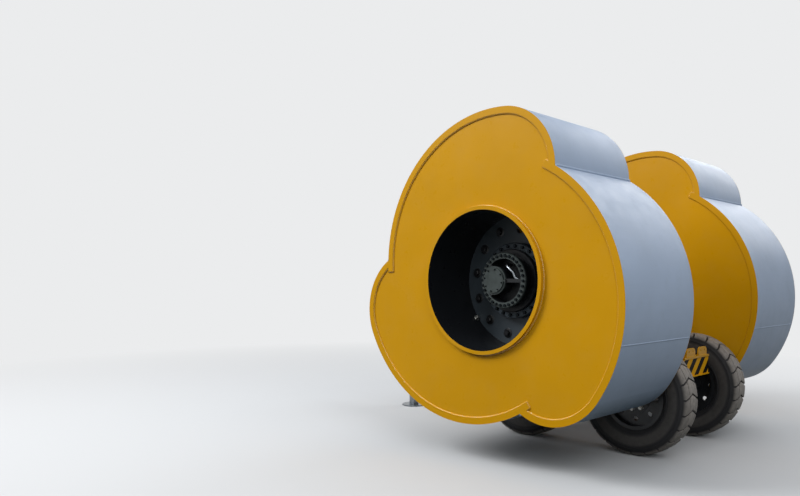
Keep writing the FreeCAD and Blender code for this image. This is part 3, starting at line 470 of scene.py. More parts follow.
def new_tree(name, inputs):
    """A node group with a geometry in and out and the given named inputs."""
    tree = bpy.data.node_groups.new(name, "GeometryNodeTree")
    tree.interface.new_socket("Geometry", in_out="INPUT", socket_type="NodeSocketGeometry")
    for label, kind, value in inputs:
        socket = tree.interface.new_socket(label, in_out="INPUT", socket_type="NodeSocket" + kind)
        if value is not None:
            socket.default_value = value
    tree.interface.new_socket("Geometry", in_out="OUTPUT", socket_type="NodeSocketGeometry")
    return tree, add(tree, "NodeGroupInput").outputs


def closed_tree(tree, geometry, material):
    real = add(tree, "GeometryNodeRealizeInstances", {"Geometry": geometry})
    painted = add(tree, "GeometryNodeSetMaterial", {"Geometry": real, "Material": material})
    add(tree, "NodeGroupOutput", {"Geometry": painted})


def ring_tree():
    """Copies of one piece turned about the Y axis."""
    tree, given = new_tree("ring_of_pieces", [
        ("Piece", "Object", None), ("Count", "Int", 12), ("Start", "Float", 0.0), ("Step", "Float", 0.5),
        ("Material", "Material", None)])
    points = add(tree, "GeometryNodeMeshLine", {"Count": given["Count"], "Offset": (0.0, 0.0, 0.0)})
    index = add(tree, "GeometryNodeInputIndex")
    angle = add(tree, "ShaderNodeMath", {0: index, 1: given["Step"], 2: given["Start"]},
                operation="MULTIPLY_ADD")
    turn = add(tree, "FunctionNodeAxisAngleToRotation", {"Axis": (0.0, -1.0, 0.0), "Angle": angle})
    piece = add(tree, "GeometryNodeObjectInfo", {"Object": given["Piece"]})
    copies = add(tree, "GeometryNodeInstanceOnPoints", {
        "Points": points, "Instance": piece.outputs["Geometry"], "Rotation": turn})
    closed_tree(tree, copies, given["Material"])


def bead_tree():
    """A round bead along the edges of a mesh, its width rippling as the welder moved on."""
    tree, given = new_tree("bead_along_lines", [
        ("Radius", "Float", 0.006), ("Ripple", "Float", 0.012), ("Unevenness", "Float", 0.12),
        ("Seed", "Float", 3.0), ("Material", "Material", None)])
    path = add(tree, "GeometryNodeMeshToCurve", {"Mesh": given["Geometry"]})
    # about three points to a ripple
    step = add(tree, "ShaderNodeMath", {0: given["Ripple"], 1: 0.34}, operation="MULTIPLY")
    even = add(tree, "GeometryNodeResampleCurve", {"Curve": path, "Length": step}, mode="LENGTH")
    run = add(tree, "GeometryNodeSplineParameter").outputs["Length"]
    phase = add(tree, "ShaderNodeMath", {0: run, 1: given["Ripple"]}, operation="DIVIDE")
    around = add(tree, "ShaderNodeMath", {0: phase, 1: tau}, operation="MULTIPLY")
    wave = add(tree, "ShaderNodeMath", {0: around}, operation="SINE")
    wander = add(tree, "ShaderNodeTexNoise", {"W": given["Seed"], "Scale": 30.0}, noise_dimensions="4D")
    both = add(tree, "ShaderNodeMath", {0: wander, 1: wave}, operation="ADD")
    scale = add(tree, "ShaderNodeMath", {0: both, 1: given["Unevenness"], 2: 1.0}, operation="MULTIPLY_ADD")
    profile = add(tree, "GeometryNodeCurvePrimitiveCircle", {"Resolution": 8, "Radius": given["Radius"]})
    bead = add(tree, "GeometryNodeCurveToMesh", {
        "Curve": even, "Profile Curve": profile, "Scale": scale, "Fill Caps": True})
    smooth = add(tree, "GeometryNodeSetShadeSmooth", {"Geometry": bead})
    closed_tree(tree, smooth, given["Material"])


def grown(name, mesh, tree, values):
    """Runs a node tree on a mesh and keeps the result as a plain mesh."""
    obj = shown(name, mesh)
    modifier = obj.modifiers.new(name, "NODES")
    modifier.node_group = tree
    for item in tree.interface.items_tree:
        if item.in_out == "INPUT" and item.name in values:
            modifier[item.identifier] = values[item.name]
    graph = bpy.context.evaluated_depsgraph_get()
    made = bpy.data.meshes.new_from_object(obj.evaluated_get(graph), depsgraph=graph)
    removed(obj)
    if not made.polygons:
        raise RuntimeError("nothing was made for " + name)
    made.name = name
    return made


def ring(name, piece, centre, count, material, start=0.0, step=None):
    """A ring of one piece about the Y axis through a centre, counted from forwards upwards."""
    template = shown(name + "_one", piece)
    template.hide_render = True
    values = {"Piece": template, "Count": count, "Start": start, "Material": material,
              "Step": tau / count if step is None else step}
    made = grown(name, bpy.data.meshes.new("start"), bpy.data.node_groups["ring_of_pieces"], values)
    removed(template)
    return moved(made, Matrix.Translation(centre))


def joined(name, meshes, material, body):
    """One piece from several meshes, riding on a body."""
    bm = bmesh.new()
    for mesh in meshes:
        bm.from_mesh(mesh)
    mesh = bpy.data.meshes.new(name)
    bm.to_mesh(mesh)
    bm.free()
    for part in meshes:
        bpy.data.meshes.remove(part)
    mesh.materials.clear()
    mesh.materials.append(material)
    for polygon in mesh.polygons:
        polygon.material_index = 0
    obj = shown(name, mesh)
    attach(obj, body)
    return obj


# Lines

def on_circle(centre, radius, angle):
    return (centre[0] + radius * sin(angle), centre[1] + radius * cos(angle))


def lobe_arcs():
    """The climbing arc and the nose arc of a lobe whose notch points straight up, as in the solids."""
    step = tau / LOBES
    following = on_circle((0.0, 0.0), NOTCH_RADIUS, step)
    climb = (-CLIMB_RADIUS * sin(CLIMB_TILT), NOTCH_RADIUS - CLIMB_RADIUS * cos(CLIMB_TILT))
    to_next = (following[0] - climb[0], following[1] - climb[1])
    apart = hypot(*to_next)
    inner = CLIMB_RADIUS - NOSE_RADIUS
    along = (inner ** 2 - NOSE_RADIUS ** 2 + apart ** 2) / (2 * apart)
    aside = sqrt(inner ** 2 - along ** 2)
    u = (to_next[0] / apart, to_next[1] / apart)
    nose = (climb[0] + along * u[0] - aside * u[1], climb[1] + along * u[1] + aside * u[0])
    meet = atan2(nose[0] - climb[0], nose[1] - climb[1])
    landing = atan2(following[0] - nose[0], following[1] - nose[1])
    return (climb, CLIMB_RADIUS, CLIMB_TILT, meet), (nose, NOSE_RADIUS, meet, landing)


def drum_point(flat, lobe, y):
    """A point of the lobe's own drawing, turned to its place on the drum, in metres."""
    turn = NOTCH_ANGLE + lobe * tau / LOBES
    u, w = flat
    x = -(u * cos(turn) + w * sin(turn))
    z = -u * sin(turn) + w * cos(turn)
    return DRUM_CENTRE + Vector((x, y, z)) * MM


def arc_points(centre, radius, first, last, spacing=20.0):
    count = max(2, round(abs(last - first) * radius / spacing))
    return [on_circle(centre, radius, first + (last - first) * i / count) for i in range(count + 1)]


def plate_outline(y):
    """The line where a drum's side plate meets its shell, around the three lobes."""
    (c1, r1, a0, a1), (c2, r2, a2, a3) = lobe_arcs()
    start = a0 - NOTCH_TAIL / r1
    flat = arc_points(c1, r1 - SHELL_WALL, start, a1)
    flat += arc_points(c2, r2 - SHELL_WALL, a2, a3)[1:-1]
    tail = arc_points(c1, r1, a0 - SHELL_WALL / r1 * 1.25, start)
    points = []
    for lobe in range(LOBES):
        points += [drum_point(p, lobe, y) for p in flat]
        points += [drum_point(p, lobe + 1, y) for p in tail]
    return points


def circle_line(centre, radius, y, steps=120):
    """A closed circle about Y, its radius and place along Y in millimetres."""
    angles = [tau * i / steps for i in range(steps)]
    return [centre + Vector((radius * cos(a), y, radius * sin(a))) * MM for a in angles], True


def straight(a, b):
    """A line between two places in millimetres, their X counted forwards from the lift pivot."""
    ahead = Vector((PIVOT.x, 0, 0))
    return [ahead + Vector(a) * MM, ahead + Vector(b) * MM], False


def bent(points, steps=10):
    """A smooth line through the points."""
    padded = [points[0], *points, points[-1]]
    line = []
    for p0, p1, p2, p3 in zip(padded, padded[1:], padded[2:], padded[3:]):
        for i in range(steps):
            t = i / steps
            line.append(0.5 * (2 * p1 + (p2 - p0) * t + (2 * p0 - 5 * p1 + 4 * p2 - p3) * t ** 2
                               + (3 * p1 - p0 - 3 * p2 + p3) * t ** 3))
    return line + [points[-1]], False


def line_mesh(lines):
    """A mesh of bare edges from (points, closed) lines."""
    points = []
    edges = []
    for line, closed in lines:
        first = len(points)
        points += line
        edges += [(i, i + 1) for i in range(first, len(points) - 1)]
        if closed:
            edges.append((len(points) - 1, first))
    mesh = bpy.data.meshes.new("lines")
    mesh.from_pydata(points, edges, [])
    return mesh


def beads(lines, radius, material, seed, even=False):
    """Weld beads along (points, closed) lines, or plain round rods where they are even."""
    sizes = bpy.context.scene.roller_sizes
    values = {"Radius": radius * MM, "Ripple": sizes.weld_ripple, "Seed": seed, "Material": material,
              "Unevenness": 0.0 if even else sizes.weld_unevenness}
    return grown("beads", line_mesh(lines), bpy.data.node_groups["bead_along_lines"], values)


# Tyre

def lathe(profile, steps, name):
    """A closed profile of (radius, y) in millimetres, turned about the Y axis."""
    bm = bmesh.new()
    rings = []
    for radius, y in profile:
        rings.append([bm.verts.new((radius * cos(tau * i / steps) * MM, y * MM,
                                    radius * sin(tau * i / steps) * MM)) for i in range(steps)])
    for a, b in zip(rings, rings[1:] + rings[:1]):
        loop_faces(bm, a, b)
    return finished(bm, name, 32.0)


def carcass_profile(groove):
    """The tyre's section: half of it from bead to the middle of the tread, mirrored to a full one."""
    low = TYRE_RADIUS - groove
    half = [
        (205.0, 68.0), (222.0, 69.0), (224.5, 73.0), (231.0, 80.0), (238.0, 84.5), (246.0, 88.5),
        (248.0, 91.5), (253.0, 92.5), (255.0, 91.0), (272.0, 96.4), (290.0, 100.0), (306.0, 101.6),
        (322.0, 101.4), (338.0, 99.8), (343.0, 98.8), (345.0, 100.6), (351.0, 100.0), (353.0, 97.4),
        (362.0, 94.6), (370.0, 91.0), (377.0, 86.5), (low - 3.0, 80.0), (low - 1.0, 60.0), (low, 30.0),
        (low + 0.5, 0.0),
    ]
    return half + [(r, -y) for r, y in reversed(half[:-1])]


def tread_height(w):
    return TYRE_RADIUS - 0.3 - TREAD_DROP * min(abs(w) / TREAD_HALF, 1.1) ** 3


def tread_block(bm, corners, foot, groove):
    """One block over four (along, across) corners, chamfered, its foot set out by foot at the outer edge."""
    steps = (0.0, 0.07, 0.5, 0.93, 1.0)
    last = len(steps) - 1
    a, b, c, d = corners
    grid = []
    for i, s in enumerate(steps):
        row = []
        for j, t in enumerate(steps):
            along, across = [(a[k] * (1 - s) + b[k] * s) * (1 - t) + (d[k] * (1 - s) + c[k] * s) * t
                             for k in (0, 1)]
            edge = i in (0, last) or j in (0, last)
            chamfer = BLOCK_CHAMFER if edge else 0.0
            row.append(tread_vertex(bm, along, across, tread_height(across) - chamfer))
        grid.append(row)
    for i in range(last):
        for j in range(last):
            bm.faces.new((grid[i][j], grid[i + 1][j], grid[i + 1][j + 1], grid[i][j + 1]))
    rim = [(i, 0) for i in range(last)] + [(last, j) for j in range(last)]
    rim += [(i, last) for i in range(last, 0, -1)] + [(0, j) for j in range(last, 0, -1)]
    upper = []
    lower = []
    middle = sum(p[0] for p in corners) / 4
    for i, j in rim:
        vertex = grid[i][j]
        along = atan2(vertex.co.z, vertex.co.x) * TYRE_RADIUS
        across = vertex.co.y / MM
        out = foot if j == last else 0.0
        sign = 1 if across > 0 else -1
        spread = BLOCK_SPREAD if along > middle else -BLOCK_SPREAD
        depth = groove + (SHOULDER_SINK if out else BLOCK_SINK)
        upper.append(vertex)
        lower.append(tread_vertex(bm, along + spread, across + sign * out, TYRE_RADIUS - depth))
    loop_faces(bm, upper, lower)


def tread_vertex(bm, along, across, radius):
    angle = along / TYRE_RADIUS
    return bm.verts.new((radius * cos(angle) * MM, across * MM, radius * sin(angle) * MM))


def tread_pitch(pitch, groove):
    """One pitch of the tread: an arrow-shaped block in the middle between two shoulder blocks."""
    bm = bmesh.new()
    middle = [(0.0, 0.6), (0.86, 0.6), (1.03, 40.0), (0.17, 40.0)]
    shoulder = [(0.20, 47.0), (1.06, 47.0), (1.20, 87.5), (0.34, 87.5)]
    for side in (1, -1):
        for corners, foot in ((middle, 0.0), (shoulder, SHOULDER_FOOT)):
            tread_block(bm, [(share * pitch, side * across) for share, across in corners], foot, groove)
    return finished(bm, "tread_pitch", 28.0)


# Operators

def colour_setting(name, description, code):
    return bpy.props.FloatVectorProperty(
        name=name, description=description, default=linear(code), subtype="COLOR", size=4, min=0.0, max=1.0)


class RollerColours(bpy.types.PropertyGroup):
    """Colours of the finishes."""

    yellow: colour_setting("Yellow enamel", "Side plates, arms, chassis and drawbar", "#BE8A08")
    shell: colour_setting("Grey-blue enamel", "Rolled shells of the drums", "#9FAFC6")
    black: colour_setting("Black enamel", "Bores, hub bodies, axles and rims", "#141619")
    disc: colour_setting("Dark grey enamel", "Discs in the drums and the hub flanges", "#3A434A")
    iron: colour_setting("Coated iron", "Hub faces, bearings and tow eye", "#3B4241")
    rubber: colour_setting("Rubber", "Tyres and buffers", "#1C1C1E")


class RollerSizes(bpy.types.PropertyGroup):
    """Sizes of the small parts."""

    weld_radius: bpy.props.FloatProperty(
        name="Weld bead", description="Radius of the side plates' beads", default=0.008, unit="LENGTH")
    weld_ripple: bpy.props.FloatProperty(
        name="Weld ripple", description="Length of one ripple of a bead", default=0.012, unit="LENGTH")
    weld_unevenness: bpy.props.FloatProperty(
        name="Weld unevenness", description="How much a bead's width changes", default=0.18, subtype="FACTOR")
    tread_pitches: bpy.props.IntProperty(
        name="Tread pitches", description="Blocks around each tyre", default=23)
    tread_groove: bpy.props.FloatProperty(
        name="Tread groove", description="Depth of the tread grooves", default=0.014, unit="LENGTH")
    face_bolts: bpy.props.IntProperty(
        name="Hub face bolts", description="Bolts around each hub face", default=30)
    stripe_width: bpy.props.FloatProperty(
        name="Stripe width", description="Width of the warning stripes", default=0.050, unit="LENGTH")


class ROLLER_OT_paint(bpy.types.Operator):
    """Makes the finishes and gives each solid its own"""

    bl_idname = "roller.paint"
    bl_label = "Paint the solids"

    def execute(self, context):
        colours = context.scene.roller_colours
        yellow = tuple(colours.yellow)
        black = tuple(colours.black)
        disc = tuple(colours.disc)
        by_slot = {
            "yellow_paint": sprayed_enamel("yellow_alkyd_enamel", yellow),
            "shell_paint": rolled_plate_enamel("grey_blue_satin_enamel", tuple(colours.shell), yellow),
            "black_paint": sprayed_enamel("black_alkyd_enamel", black, 0.34, 0.4, 0.04),
            "dark_steel": cast_iron("coated_grey_iron", tuple(colours.iron)),
            "bare_steel": bright_steel("turned_steel", linear("#868B90")),
            "tyre_rubber": carbon_black_rubber("carbon_black_rubber", tuple(colours.rubber)),
            "buffer_rubber": carbon_black_rubber("moulded_buffer_rubber", tuple(colours.rubber)),
            "chromed_rod": bright_steel("hard_chrome", linear("#C9CBCE"), 0.06, 0.14, 60.0),
        }
        bright_steel("zinc_plated_steel", linear("#A9AAA6"))
        bright_steel("phosphated_steel", linear("#1E2225"), 0.3, 0.5)
        # painted light: the rear plate's yellow is the body's yellow enamel drawn 1.3 times lighter, standing in
        # for the stronger light that falls on the plate
        own = {"rear_cover": hazard_enamel("striped_enamel", shade(yellow, 1.3), shade(black, 0.3),
                                           context.scene.roller_sizes.stripe_width / MM)}
        # a weld bead takes a thicker, glossier film than the plate beside it
        sprayed_enamel("yellow_enamel_on_welds", yellow, 0.16, 0.5)
        disc_finish = sprayed_enamel("dark_grey_alkyd_enamel", disc, 0.4, 0.5, 0.04)
        tube = two_colour_enamel("black_and_yellow_enamel", yellow, black)
        hub = hub_enamel("hub_enamel", tuple(colours.iron), disc, black)
        for hand in SIDES:
            own["drum_hub_tube_" + hand] = tube
            own["drum_disc_" + hand] = disc_finish
            own["hub_" + hand] = hub
        for part in frame["record"]["subparts"]:
            obj = frame["nodes"][part["node"]]
            finish = own.get(part["node"], by_slot[part["material_slot"]])
            if not obj.material_slots:
                obj.data.materials.append(finish)
            for slot in obj.material_slots:
                slot.material = finish
        return {"FINISHED"}


class ROLLER_OT_drum_welds(bpy.types.Operator):
    """Lays weld beads around the side plates and the tube, in the notches and across the shells"""

    bl_idname = "roller.drum_welds"
    bl_label = "Weld the drums"

    def execute(self, context):
        radius = context.scene.roller_sizes.weld_radius / MM
        thick = radius * 1.1
        glossy = bpy.data.materials["yellow_enamel_on_welds"]
        grey = bpy.data.materials["grey_blue_satin_enamel"]
        climb = lobe_arcs()[0]
        for hand, side in SIDES.items():
            faces = [side * (DRUM_OUTER_Y - PLATE_RECESS), side * (DRUM_INNER_Y + PLATE_RECESS)]
            outline = beads([(plate_outline(y), True) for y in faces], radius, glossy, 1.0)
            tube = beads([circle_line(DRUM_CENTRE, TUBE_OUTER_RADIUS, y) for y in faces], thick, glossy, 2.0)
            joined("plate_welds_" + hand, [outline, tube], glossy, "drums")
            across = [side * (DRUM_INNER_Y + SHELL_WELD_INSET), side * (DRUM_OUTER_Y - SHELL_WELD_INSET)]
            notches = []
            seams = []
            for lobe in range(LOBES):
                seam = on_circle(climb[0], climb[1] - 2.0, SHELL_SEAM)
                notches.append(([drum_point((0.0, NOTCH_RADIUS + 1.0), lobe, y) for y in across], False))
                seams.append(([drum_point(seam, lobe, y) for y in across], False))
            meshes = [beads(notches, thick, grey, 3.0), beads(seams, radius * 0.5, grey, 4.0)]
            joined("shell_welds_" + hand, meshes, grey, "drums")
        return {"FINISHED"}


class ROLLER_OT_frame_welds(bpy.types.Operator):
    """Lays the weld beads of the lift frame, the rails and the drawbar"""

    bl_idname = "roller.frame_welds"
    bl_label = "Weld the frame"

    def execute(self, context):
        yellow = bpy.data.materials["yellow_alkyd_enamel"]
        along = (DRUM_CENTRE - PIVOT).normalized()
        up = Vector((along.z, 0, -along.x))
        tube = PIVOT + (along * CROSS_TUBE_REACH + up * CROSS_TUBE_RISE) * MM
        rings = [circle_line(tube, CROSS_TUBE_RADIUS, side * ARM_INNER_Y, 40) for side in (1, -1)]
        made = beads(rings, LIFT_WELD, yellow, 5.0)
        joined("lift_frame_welds", [made], yellow, "lift_frame")
        made = beads(rail_lines() + drawbar_lines() + lug_lines(), CHASSIS_WELD, yellow, 6.0)
        joined("chassis_welds", [made], yellow, "chassis")
        return {"FINISHED"}


def rail_lines():
    """Where the axle saddles, the cross members and the front plate meet the rails."""
    low, high = [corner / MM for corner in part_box("rail_left")]
    lines = []
    for side in (1, -1):
        inner = side * RAIL_INNER_Y
        outer = side * RAIL_OUTER_Y
        for end in ENDS:
            middle = (PLACES["wheel_" + end + "_left_turn"].x - PIVOT.x) / MM
            for z, half in ((low.z, 2 * AXLE_BEAM_HALF), (SADDLE_FOOT_Z, AXLE_BEAM_HALF)):
                lines += [straight((middle + x, inner, z), (middle + x, outer, z)) for x in (-half, half)]
                lines += [straight((middle - half, y, z), (middle + half, y, z)) for y in (inner, outer)]
        for start in CROSS_MEMBER_BACKS:
            for x in (start, start + CROSS_MEMBER_WIDTH):
                lines.append(straight((x, inner, low.z), (x, inner, high.z)))
        for z in (low.z, high.z):
            lines.append(straight((RAIL_FRONT, inner + side * RAIL_CORNER, z),
                                  (RAIL_FRONT, outer - side * RAIL_CORNER, z)))
        lines.append(straight((RAIL_FRONT, outer, low.z + RAIL_CORNER),
                              (RAIL_FRONT, outer, high.z - RAIL_CORNER)))
    return lines


def drawbar_lines():
    """Where the drawbar's beams meet the front plate and the tip plates."""
    middle = PIVOT.z / MM
    low = middle - DRAWBAR_HALF_HEIGHT
    high = middle + DRAWBAR_HALF_HEIGHT
    narrowing = (RAIL_OUTER_Y - DRAWBAR_TIP_HALF) / (DRAWBAR_TIP - DRAWBAR_START)
    back = RAIL_OUTER_Y - (TIP_PLATE_BACK - DRAWBAR_START) * narrowing - TIP_PLATE_INSET
    front = DRAWBAR_TIP_HALF - TIP_PLATE_INSET
    lines = []
    for side in (1, -1):
        outer = side * RAIL_OUTER_Y
        lines.append(straight((DRAWBAR_START, outer, low), (DRAWBAR_START, outer, high)))
        tip = side * DRAWBAR_TIP_HALF
        lines.append(straight((DRAWBAR_TIP, tip, low), (DRAWBAR_TIP, tip, high)))
        for z in (low, high):
            lines.append(straight((TIP_PLATE_BACK, side * back, z), (TIP_PLATE_FRONT, side * front, z)))
    return lines


def lug_lines():
    """Along both faces of the lugs that stand on the rear top plate."""
    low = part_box("rear_top_plate")[0] / MM
    back = low.x - PIVOT.x / MM
    foot = low.z + REAR_LUG_FOOT
    lines = []
    for middle in REAR_LUGS:
        for x in (back + depth for depth in REAR_LUG_FACES):
            lines.append(straight((x, middle - REAR_LUG_HALF, foot), (x, middle + REAR_LUG_HALF, foot)))
    return lines


class ROLLER_OT_hub_bolts(bpy.types.Operator):
    """Puts the bolts on the discs, hubs and hub caps of the drums"""

    bl_idname = "roller.hub_bolts"
    bl_label = "Bolt the hubs"

    def execute(self, context):
        black = bpy.data.materials["black_alkyd_enamel"]
        dark = bpy.data.materials["phosphated_steel"]
        faces = context.scene.roller_sizes.face_bolts
        # name, finish, slot, count, places, (across flats, head, washer), reach, y, offset along X, start
        rings = [
            ("disc_bolts_", black, "black_paint", DISC_PLACES - 1, DISC_PLACES, (38.0, 22.0), DISC_BOLT_REACH,
             DISC_Y, 0.0, radians(90.5) + tau / DISC_PLACES),
            ("hub_base_bolts_", dark, "dark_steel", 24, 24, (21.0, 13.0, 0.0), 234.0, HUB_BASE_Y, 0.0, 0.07),
            ("hub_face_bolts_", dark, "dark_steel", faces, faces, (18.0, 11.0, 0.0), 166.0, HUB_FACE_Y,
             0.0, 0.0),
            ("hub_cap_bolts_", dark, "dark_steel", 8, 8, (10.0, 6.0, 0.0), 73.0, HUB_CAP_Y, HUB_CAP_OFFSET,
             0.2),
        ]
        for hand, side in SIDES.items():
            for name, finish, slot, count, places, sizes, reach, y, offset, start in rings:
                bolt = moved(hexagon_bolt(*sizes), facing_y(side, reach, y))
                centre = DRUM_CENTRE + Vector((offset * MM, 0, 0))
                made = ring(name + hand, bolt, centre, count, finish, start, tau / places)
                joined(name + hand, [made], finish, "drums")
        return {"FINISHED"}


class ROLLER_OT_hub_pipes(bpy.types.Operator):
    """Puts a bent grease pipe into each hub's window and a plug into each tube's wall"""

    bl_idname = "roller.hub_pipes"
    bl_label = "Fit the hub pipes and plugs"

    def execute(self, context):
        steel = bpy.data.materials["turned_steel"]
        zinc = bpy.data.materials["zinc_plated_steel"]
        # places beside the axle's middle, along X, Y and Z
        route = [(-14.0, 1175.0, 104.0), (-14.0, 1228.0, 102.0), (-40.0, 1244.0, 82.0), (-78.0, 1246.0, 54.0),
                 (-92.0, 1246.0, 26.0), (-120.0, 1244.0, 8.0), (-140.0, 1242.0, 2.0)]
        for hand, side in SIDES.items():
            points = [DRUM_CENTRE + Vector((x, side * y, z)) * MM for x, y, z in route]
            pipe = beads([bent(points)], PIPE_RADIUS, steel, 1.0, True)
            joined("hub_pipe_" + hand, [pipe], steel, "drums")
            inwards = Matrix.Rotation(PLUG_TURN, 4, "Y")
            wall = Matrix.Translation(Vector((0, 0, -TUBE_BORE_RADIUS - 0.5)) * MM)
            place = Matrix.Translation(DRUM_CENTRE + Vector((0, side * PLUG_Y * MM, 0)))
            plug = moved(hexagon_bolt(24.0, 16.0, 5.0), place @ inwards @ wall)
            joined("tube_plug_" + hand, [plug], zinc, "drums")
        return {"FINISHED"}


class ROLLER_OT_tyres(bpy.types.Operator):
    """Builds the four tyres with their block treads"""

    bl_idname = "roller.tyres"
    bl_label = "Make the tyres"

    def execute(self, context):
        sizes = context.scene.roller_sizes
        rubber = bpy.data.materials["carbon_black_rubber"]
        groove = sizes.tread_groove / MM
        pitch = tau * TYRE_RADIUS / sizes.tread_pitches
        for end in ENDS:
            for hand in SIDES:
                wheel = end + "_" + hand
                centre = PLACES["wheel_" + wheel + "_turn"]
                carcass = moved(lathe(carcass_profile(groove), 144, "carcass"), Matrix.Translation(centre))
                tread = ring("tread", tread_pitch(pitch, groove), centre, sizes.tread_pitches, rubber)
                obj = joined("tyre_with_tread_" + wheel, [carcass, tread], rubber, "wheel_" + wheel)
                mark_worn(obj.data, centre, groove)
                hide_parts("tyre_" + wheel)
        return {"FINISHED"}


def mark_worn(mesh, centre, groove):
    """Keeps on each vertex how soiled it is: most on the middle blocks, a little around the sidewall."""
    worn = mesh.attributes.new("worn", "FLOAT", "POINT")
    for vertex, value in zip(mesh.vertices, worn.data):
        radius = hypot(vertex.co.x - centre.x, vertex.co.z - centre.z) / MM
        aside = abs(vertex.co.y - centre.y) / MM
        top = tread_height(aside) - 3.0
        fade = groove * 0.3
        height = max(0.0, min(1.0, (radius - top + fade) / fade))
        value.value = height * (1.0 - 0.3 * min(1.0, aside / TREAD_HALF) ** 2)
        if SOILED_WALL[0] < radius < SOILED_WALL[1]:
            value.value = SOILED_WALL_SHARE


class ROLLER_OT_wheel_nuts(bpy.types.Operator):
    """Puts the wheel nuts, the cap bolts and the valves on the rims"""

    bl_idname = "roller.wheel_nuts"
    bl_label = "Fit the wheel nuts"

    def execute(self, context):
        bright = bpy.data.materials["zinc_plated_steel"]
        for end in ENDS:
            for hand, side in SIDES.items():
                wheel = end + "_" + hand
                centre = PLACES["wheel_" + wheel + "_turn"]
                x, y, z = [part / MM for part in centre]
                nut = moved(wheel_nut(27.0, 22.0, 16.0), facing_y(side, NUT_REACH, WHEEL_FLANGE_W))
                cap = moved(hexagon_bolt(13.0, 7.0, 2.0), facing_y(side, CAP_BOLT_REACH, WHEEL_CAP_W))
                valve = turned(VALVE, 12, "valve")
                place = facing_y(side, x + VALVE_REACH, abs(y) + WHEEL_DISC_W, z)
                meshes = [ring("nuts", nut, centre, 8, bright, 0.2),
                          ring("caps", cap, centre, 6, bright, 0.5), moved(valve, place)]
                joined("wheel_nuts_" + wheel, meshes, bright, "wheel_" + wheel)
        return {"FINISHED"}


class ROLLER_OT_frame_bolts(bpy.types.Operator):
    """Puts the bolts on the bearing housings, the pivot pin and the tow eye's flange"""

    bl_idname = "roller.frame_bolts"
    bl_label = "Bolt the frame"

    def execute(self, context):
        bright = bpy.data.materials["zinc_plated_steel"]
        housings = []
        fixings = []
        for side in (1, -1):
            place = facing_y(side, HOUSING_BOLT_REACH, HOUSING_FLANGE_Y)
            bolt = moved(hexagon_bolt(*M20_HEAD), place)
            housings.append(ring("housing", bolt, Vector((DRUM_CENTRE.x, 0, DRUM_CENTRE.z)), 10, bright, 0.3))
            plate = turned(PIN_PLATE, 32, "plate")
            fixings.append(moved(plate, facing_y(side, PIVOT.x / MM, PIN_END_Y, PIVOT.z / MM)))
            place = facing_y(side, PIN_BOLT_REACH, PIN_END_Y + PIN_PLATE[-1][1])
            bolt = moved(hexagon_bolt(18.0, 9.0), place)
            fixings.append(ring("pin", bolt, Vector((PIVOT.x, 0, PIVOT.z)), 2, bright, 0.6))
        joined("housing_bolts", housings, bright, "lift_frame")
        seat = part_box("drawbar")[1].x + EYE_FLANGE_WALL * MM
        turn = Matrix.Rotation(radians(90), 4, "Y")
        for y, z in EYE_BOLTS:
            place = Matrix.Translation(Vector((seat, y * MM, PIVOT.z + z * MM))) @ turn
            fixings.append(moved(hexagon_bolt(*M20_HEAD), place))
        joined("frame_bolts", fixings, bright, "chassis")
        return {"FINISHED"}


class ROLLER_OT_stage(bpy.types.Operator):
    """Sets the pale floor, the soft lights and the camera"""

    bl_idname = "roller.stage"
    bl_label = "Set the stage"

    def execute(self, context):
        scene = context.scene
        backdrop = linear(BACKDROP)
        bm = bmesh.new()
        bmesh.ops.create_circle(bm, cap_ends=True, segments=96, radius=FLOOR_RADIUS)
        mesh = bpy.data.meshes.new("floor")
        bm.to_mesh(mesh)
        bm.free()
        floor = shown("floor", mesh)
        mesh.materials.append(floor_finish(backdrop))
        world = bpy.data.worlds.new("studio")
        scene.world = world
        world.use_nodes = True
        tree = world.node_tree
        plain = tree.nodes["Background"]
        plain.inputs["Color"].default_value = linear("#E9EBEE")
        towards = add(tree, "ShaderNodeTexCoord").outputs["Generated"]
        rise = add(tree, "ShaderNodeSeparateXYZ", {"Vector": towards}).outputs["Z"]
        low, high = WORLD_LEVELS
        above = add(tree, "ShaderNodeMapRange", {"Value": rise, "To Min": low, "To Max": high})
        tree.links.new(above.outputs["Result"], plain.inputs["Strength"])
        shown_behind = add(tree, "ShaderNodeBackground", {"Color": backdrop, "Strength": 1.0})
        chosen = add(tree, "ShaderNodeMixShader", {0: seen_directly(tree), 1: plain, 2: shown_behind})
        tree.links.new(chosen.outputs[0], tree.nodes["World Output"].inputs["Surface"])
        for name, place, size, power in LAMPS:
            light = bpy.data.lights.new(name, "AREA")
            light.size = size
            light.energy = power
            lamp = shown(name, light)
            lamp.location = place
            lamp.rotation_euler = (LAMP_AIM - Vector(place)).to_track_quat("-Z", "Y").to_euler()
        scene.camera = photograph_camera()
        scene.view_settings.view_transform = "Standard"
        return {"FINISHED"}


def seen_directly(tree):
    """1 for rays from the camera and for reflections and refractions, 0 for light that spreads."""
    path = add(tree, "ShaderNodeLightPath").outputs
    direct = path["Is Camera Ray"]
    for ray in ("Is Glossy Ray", "Is Transmission Ray"):
        direct = add(tree, "ShaderNodeMath", {0: direct, 1: path[ray]}, operation="MAXIMUM")
    return direct


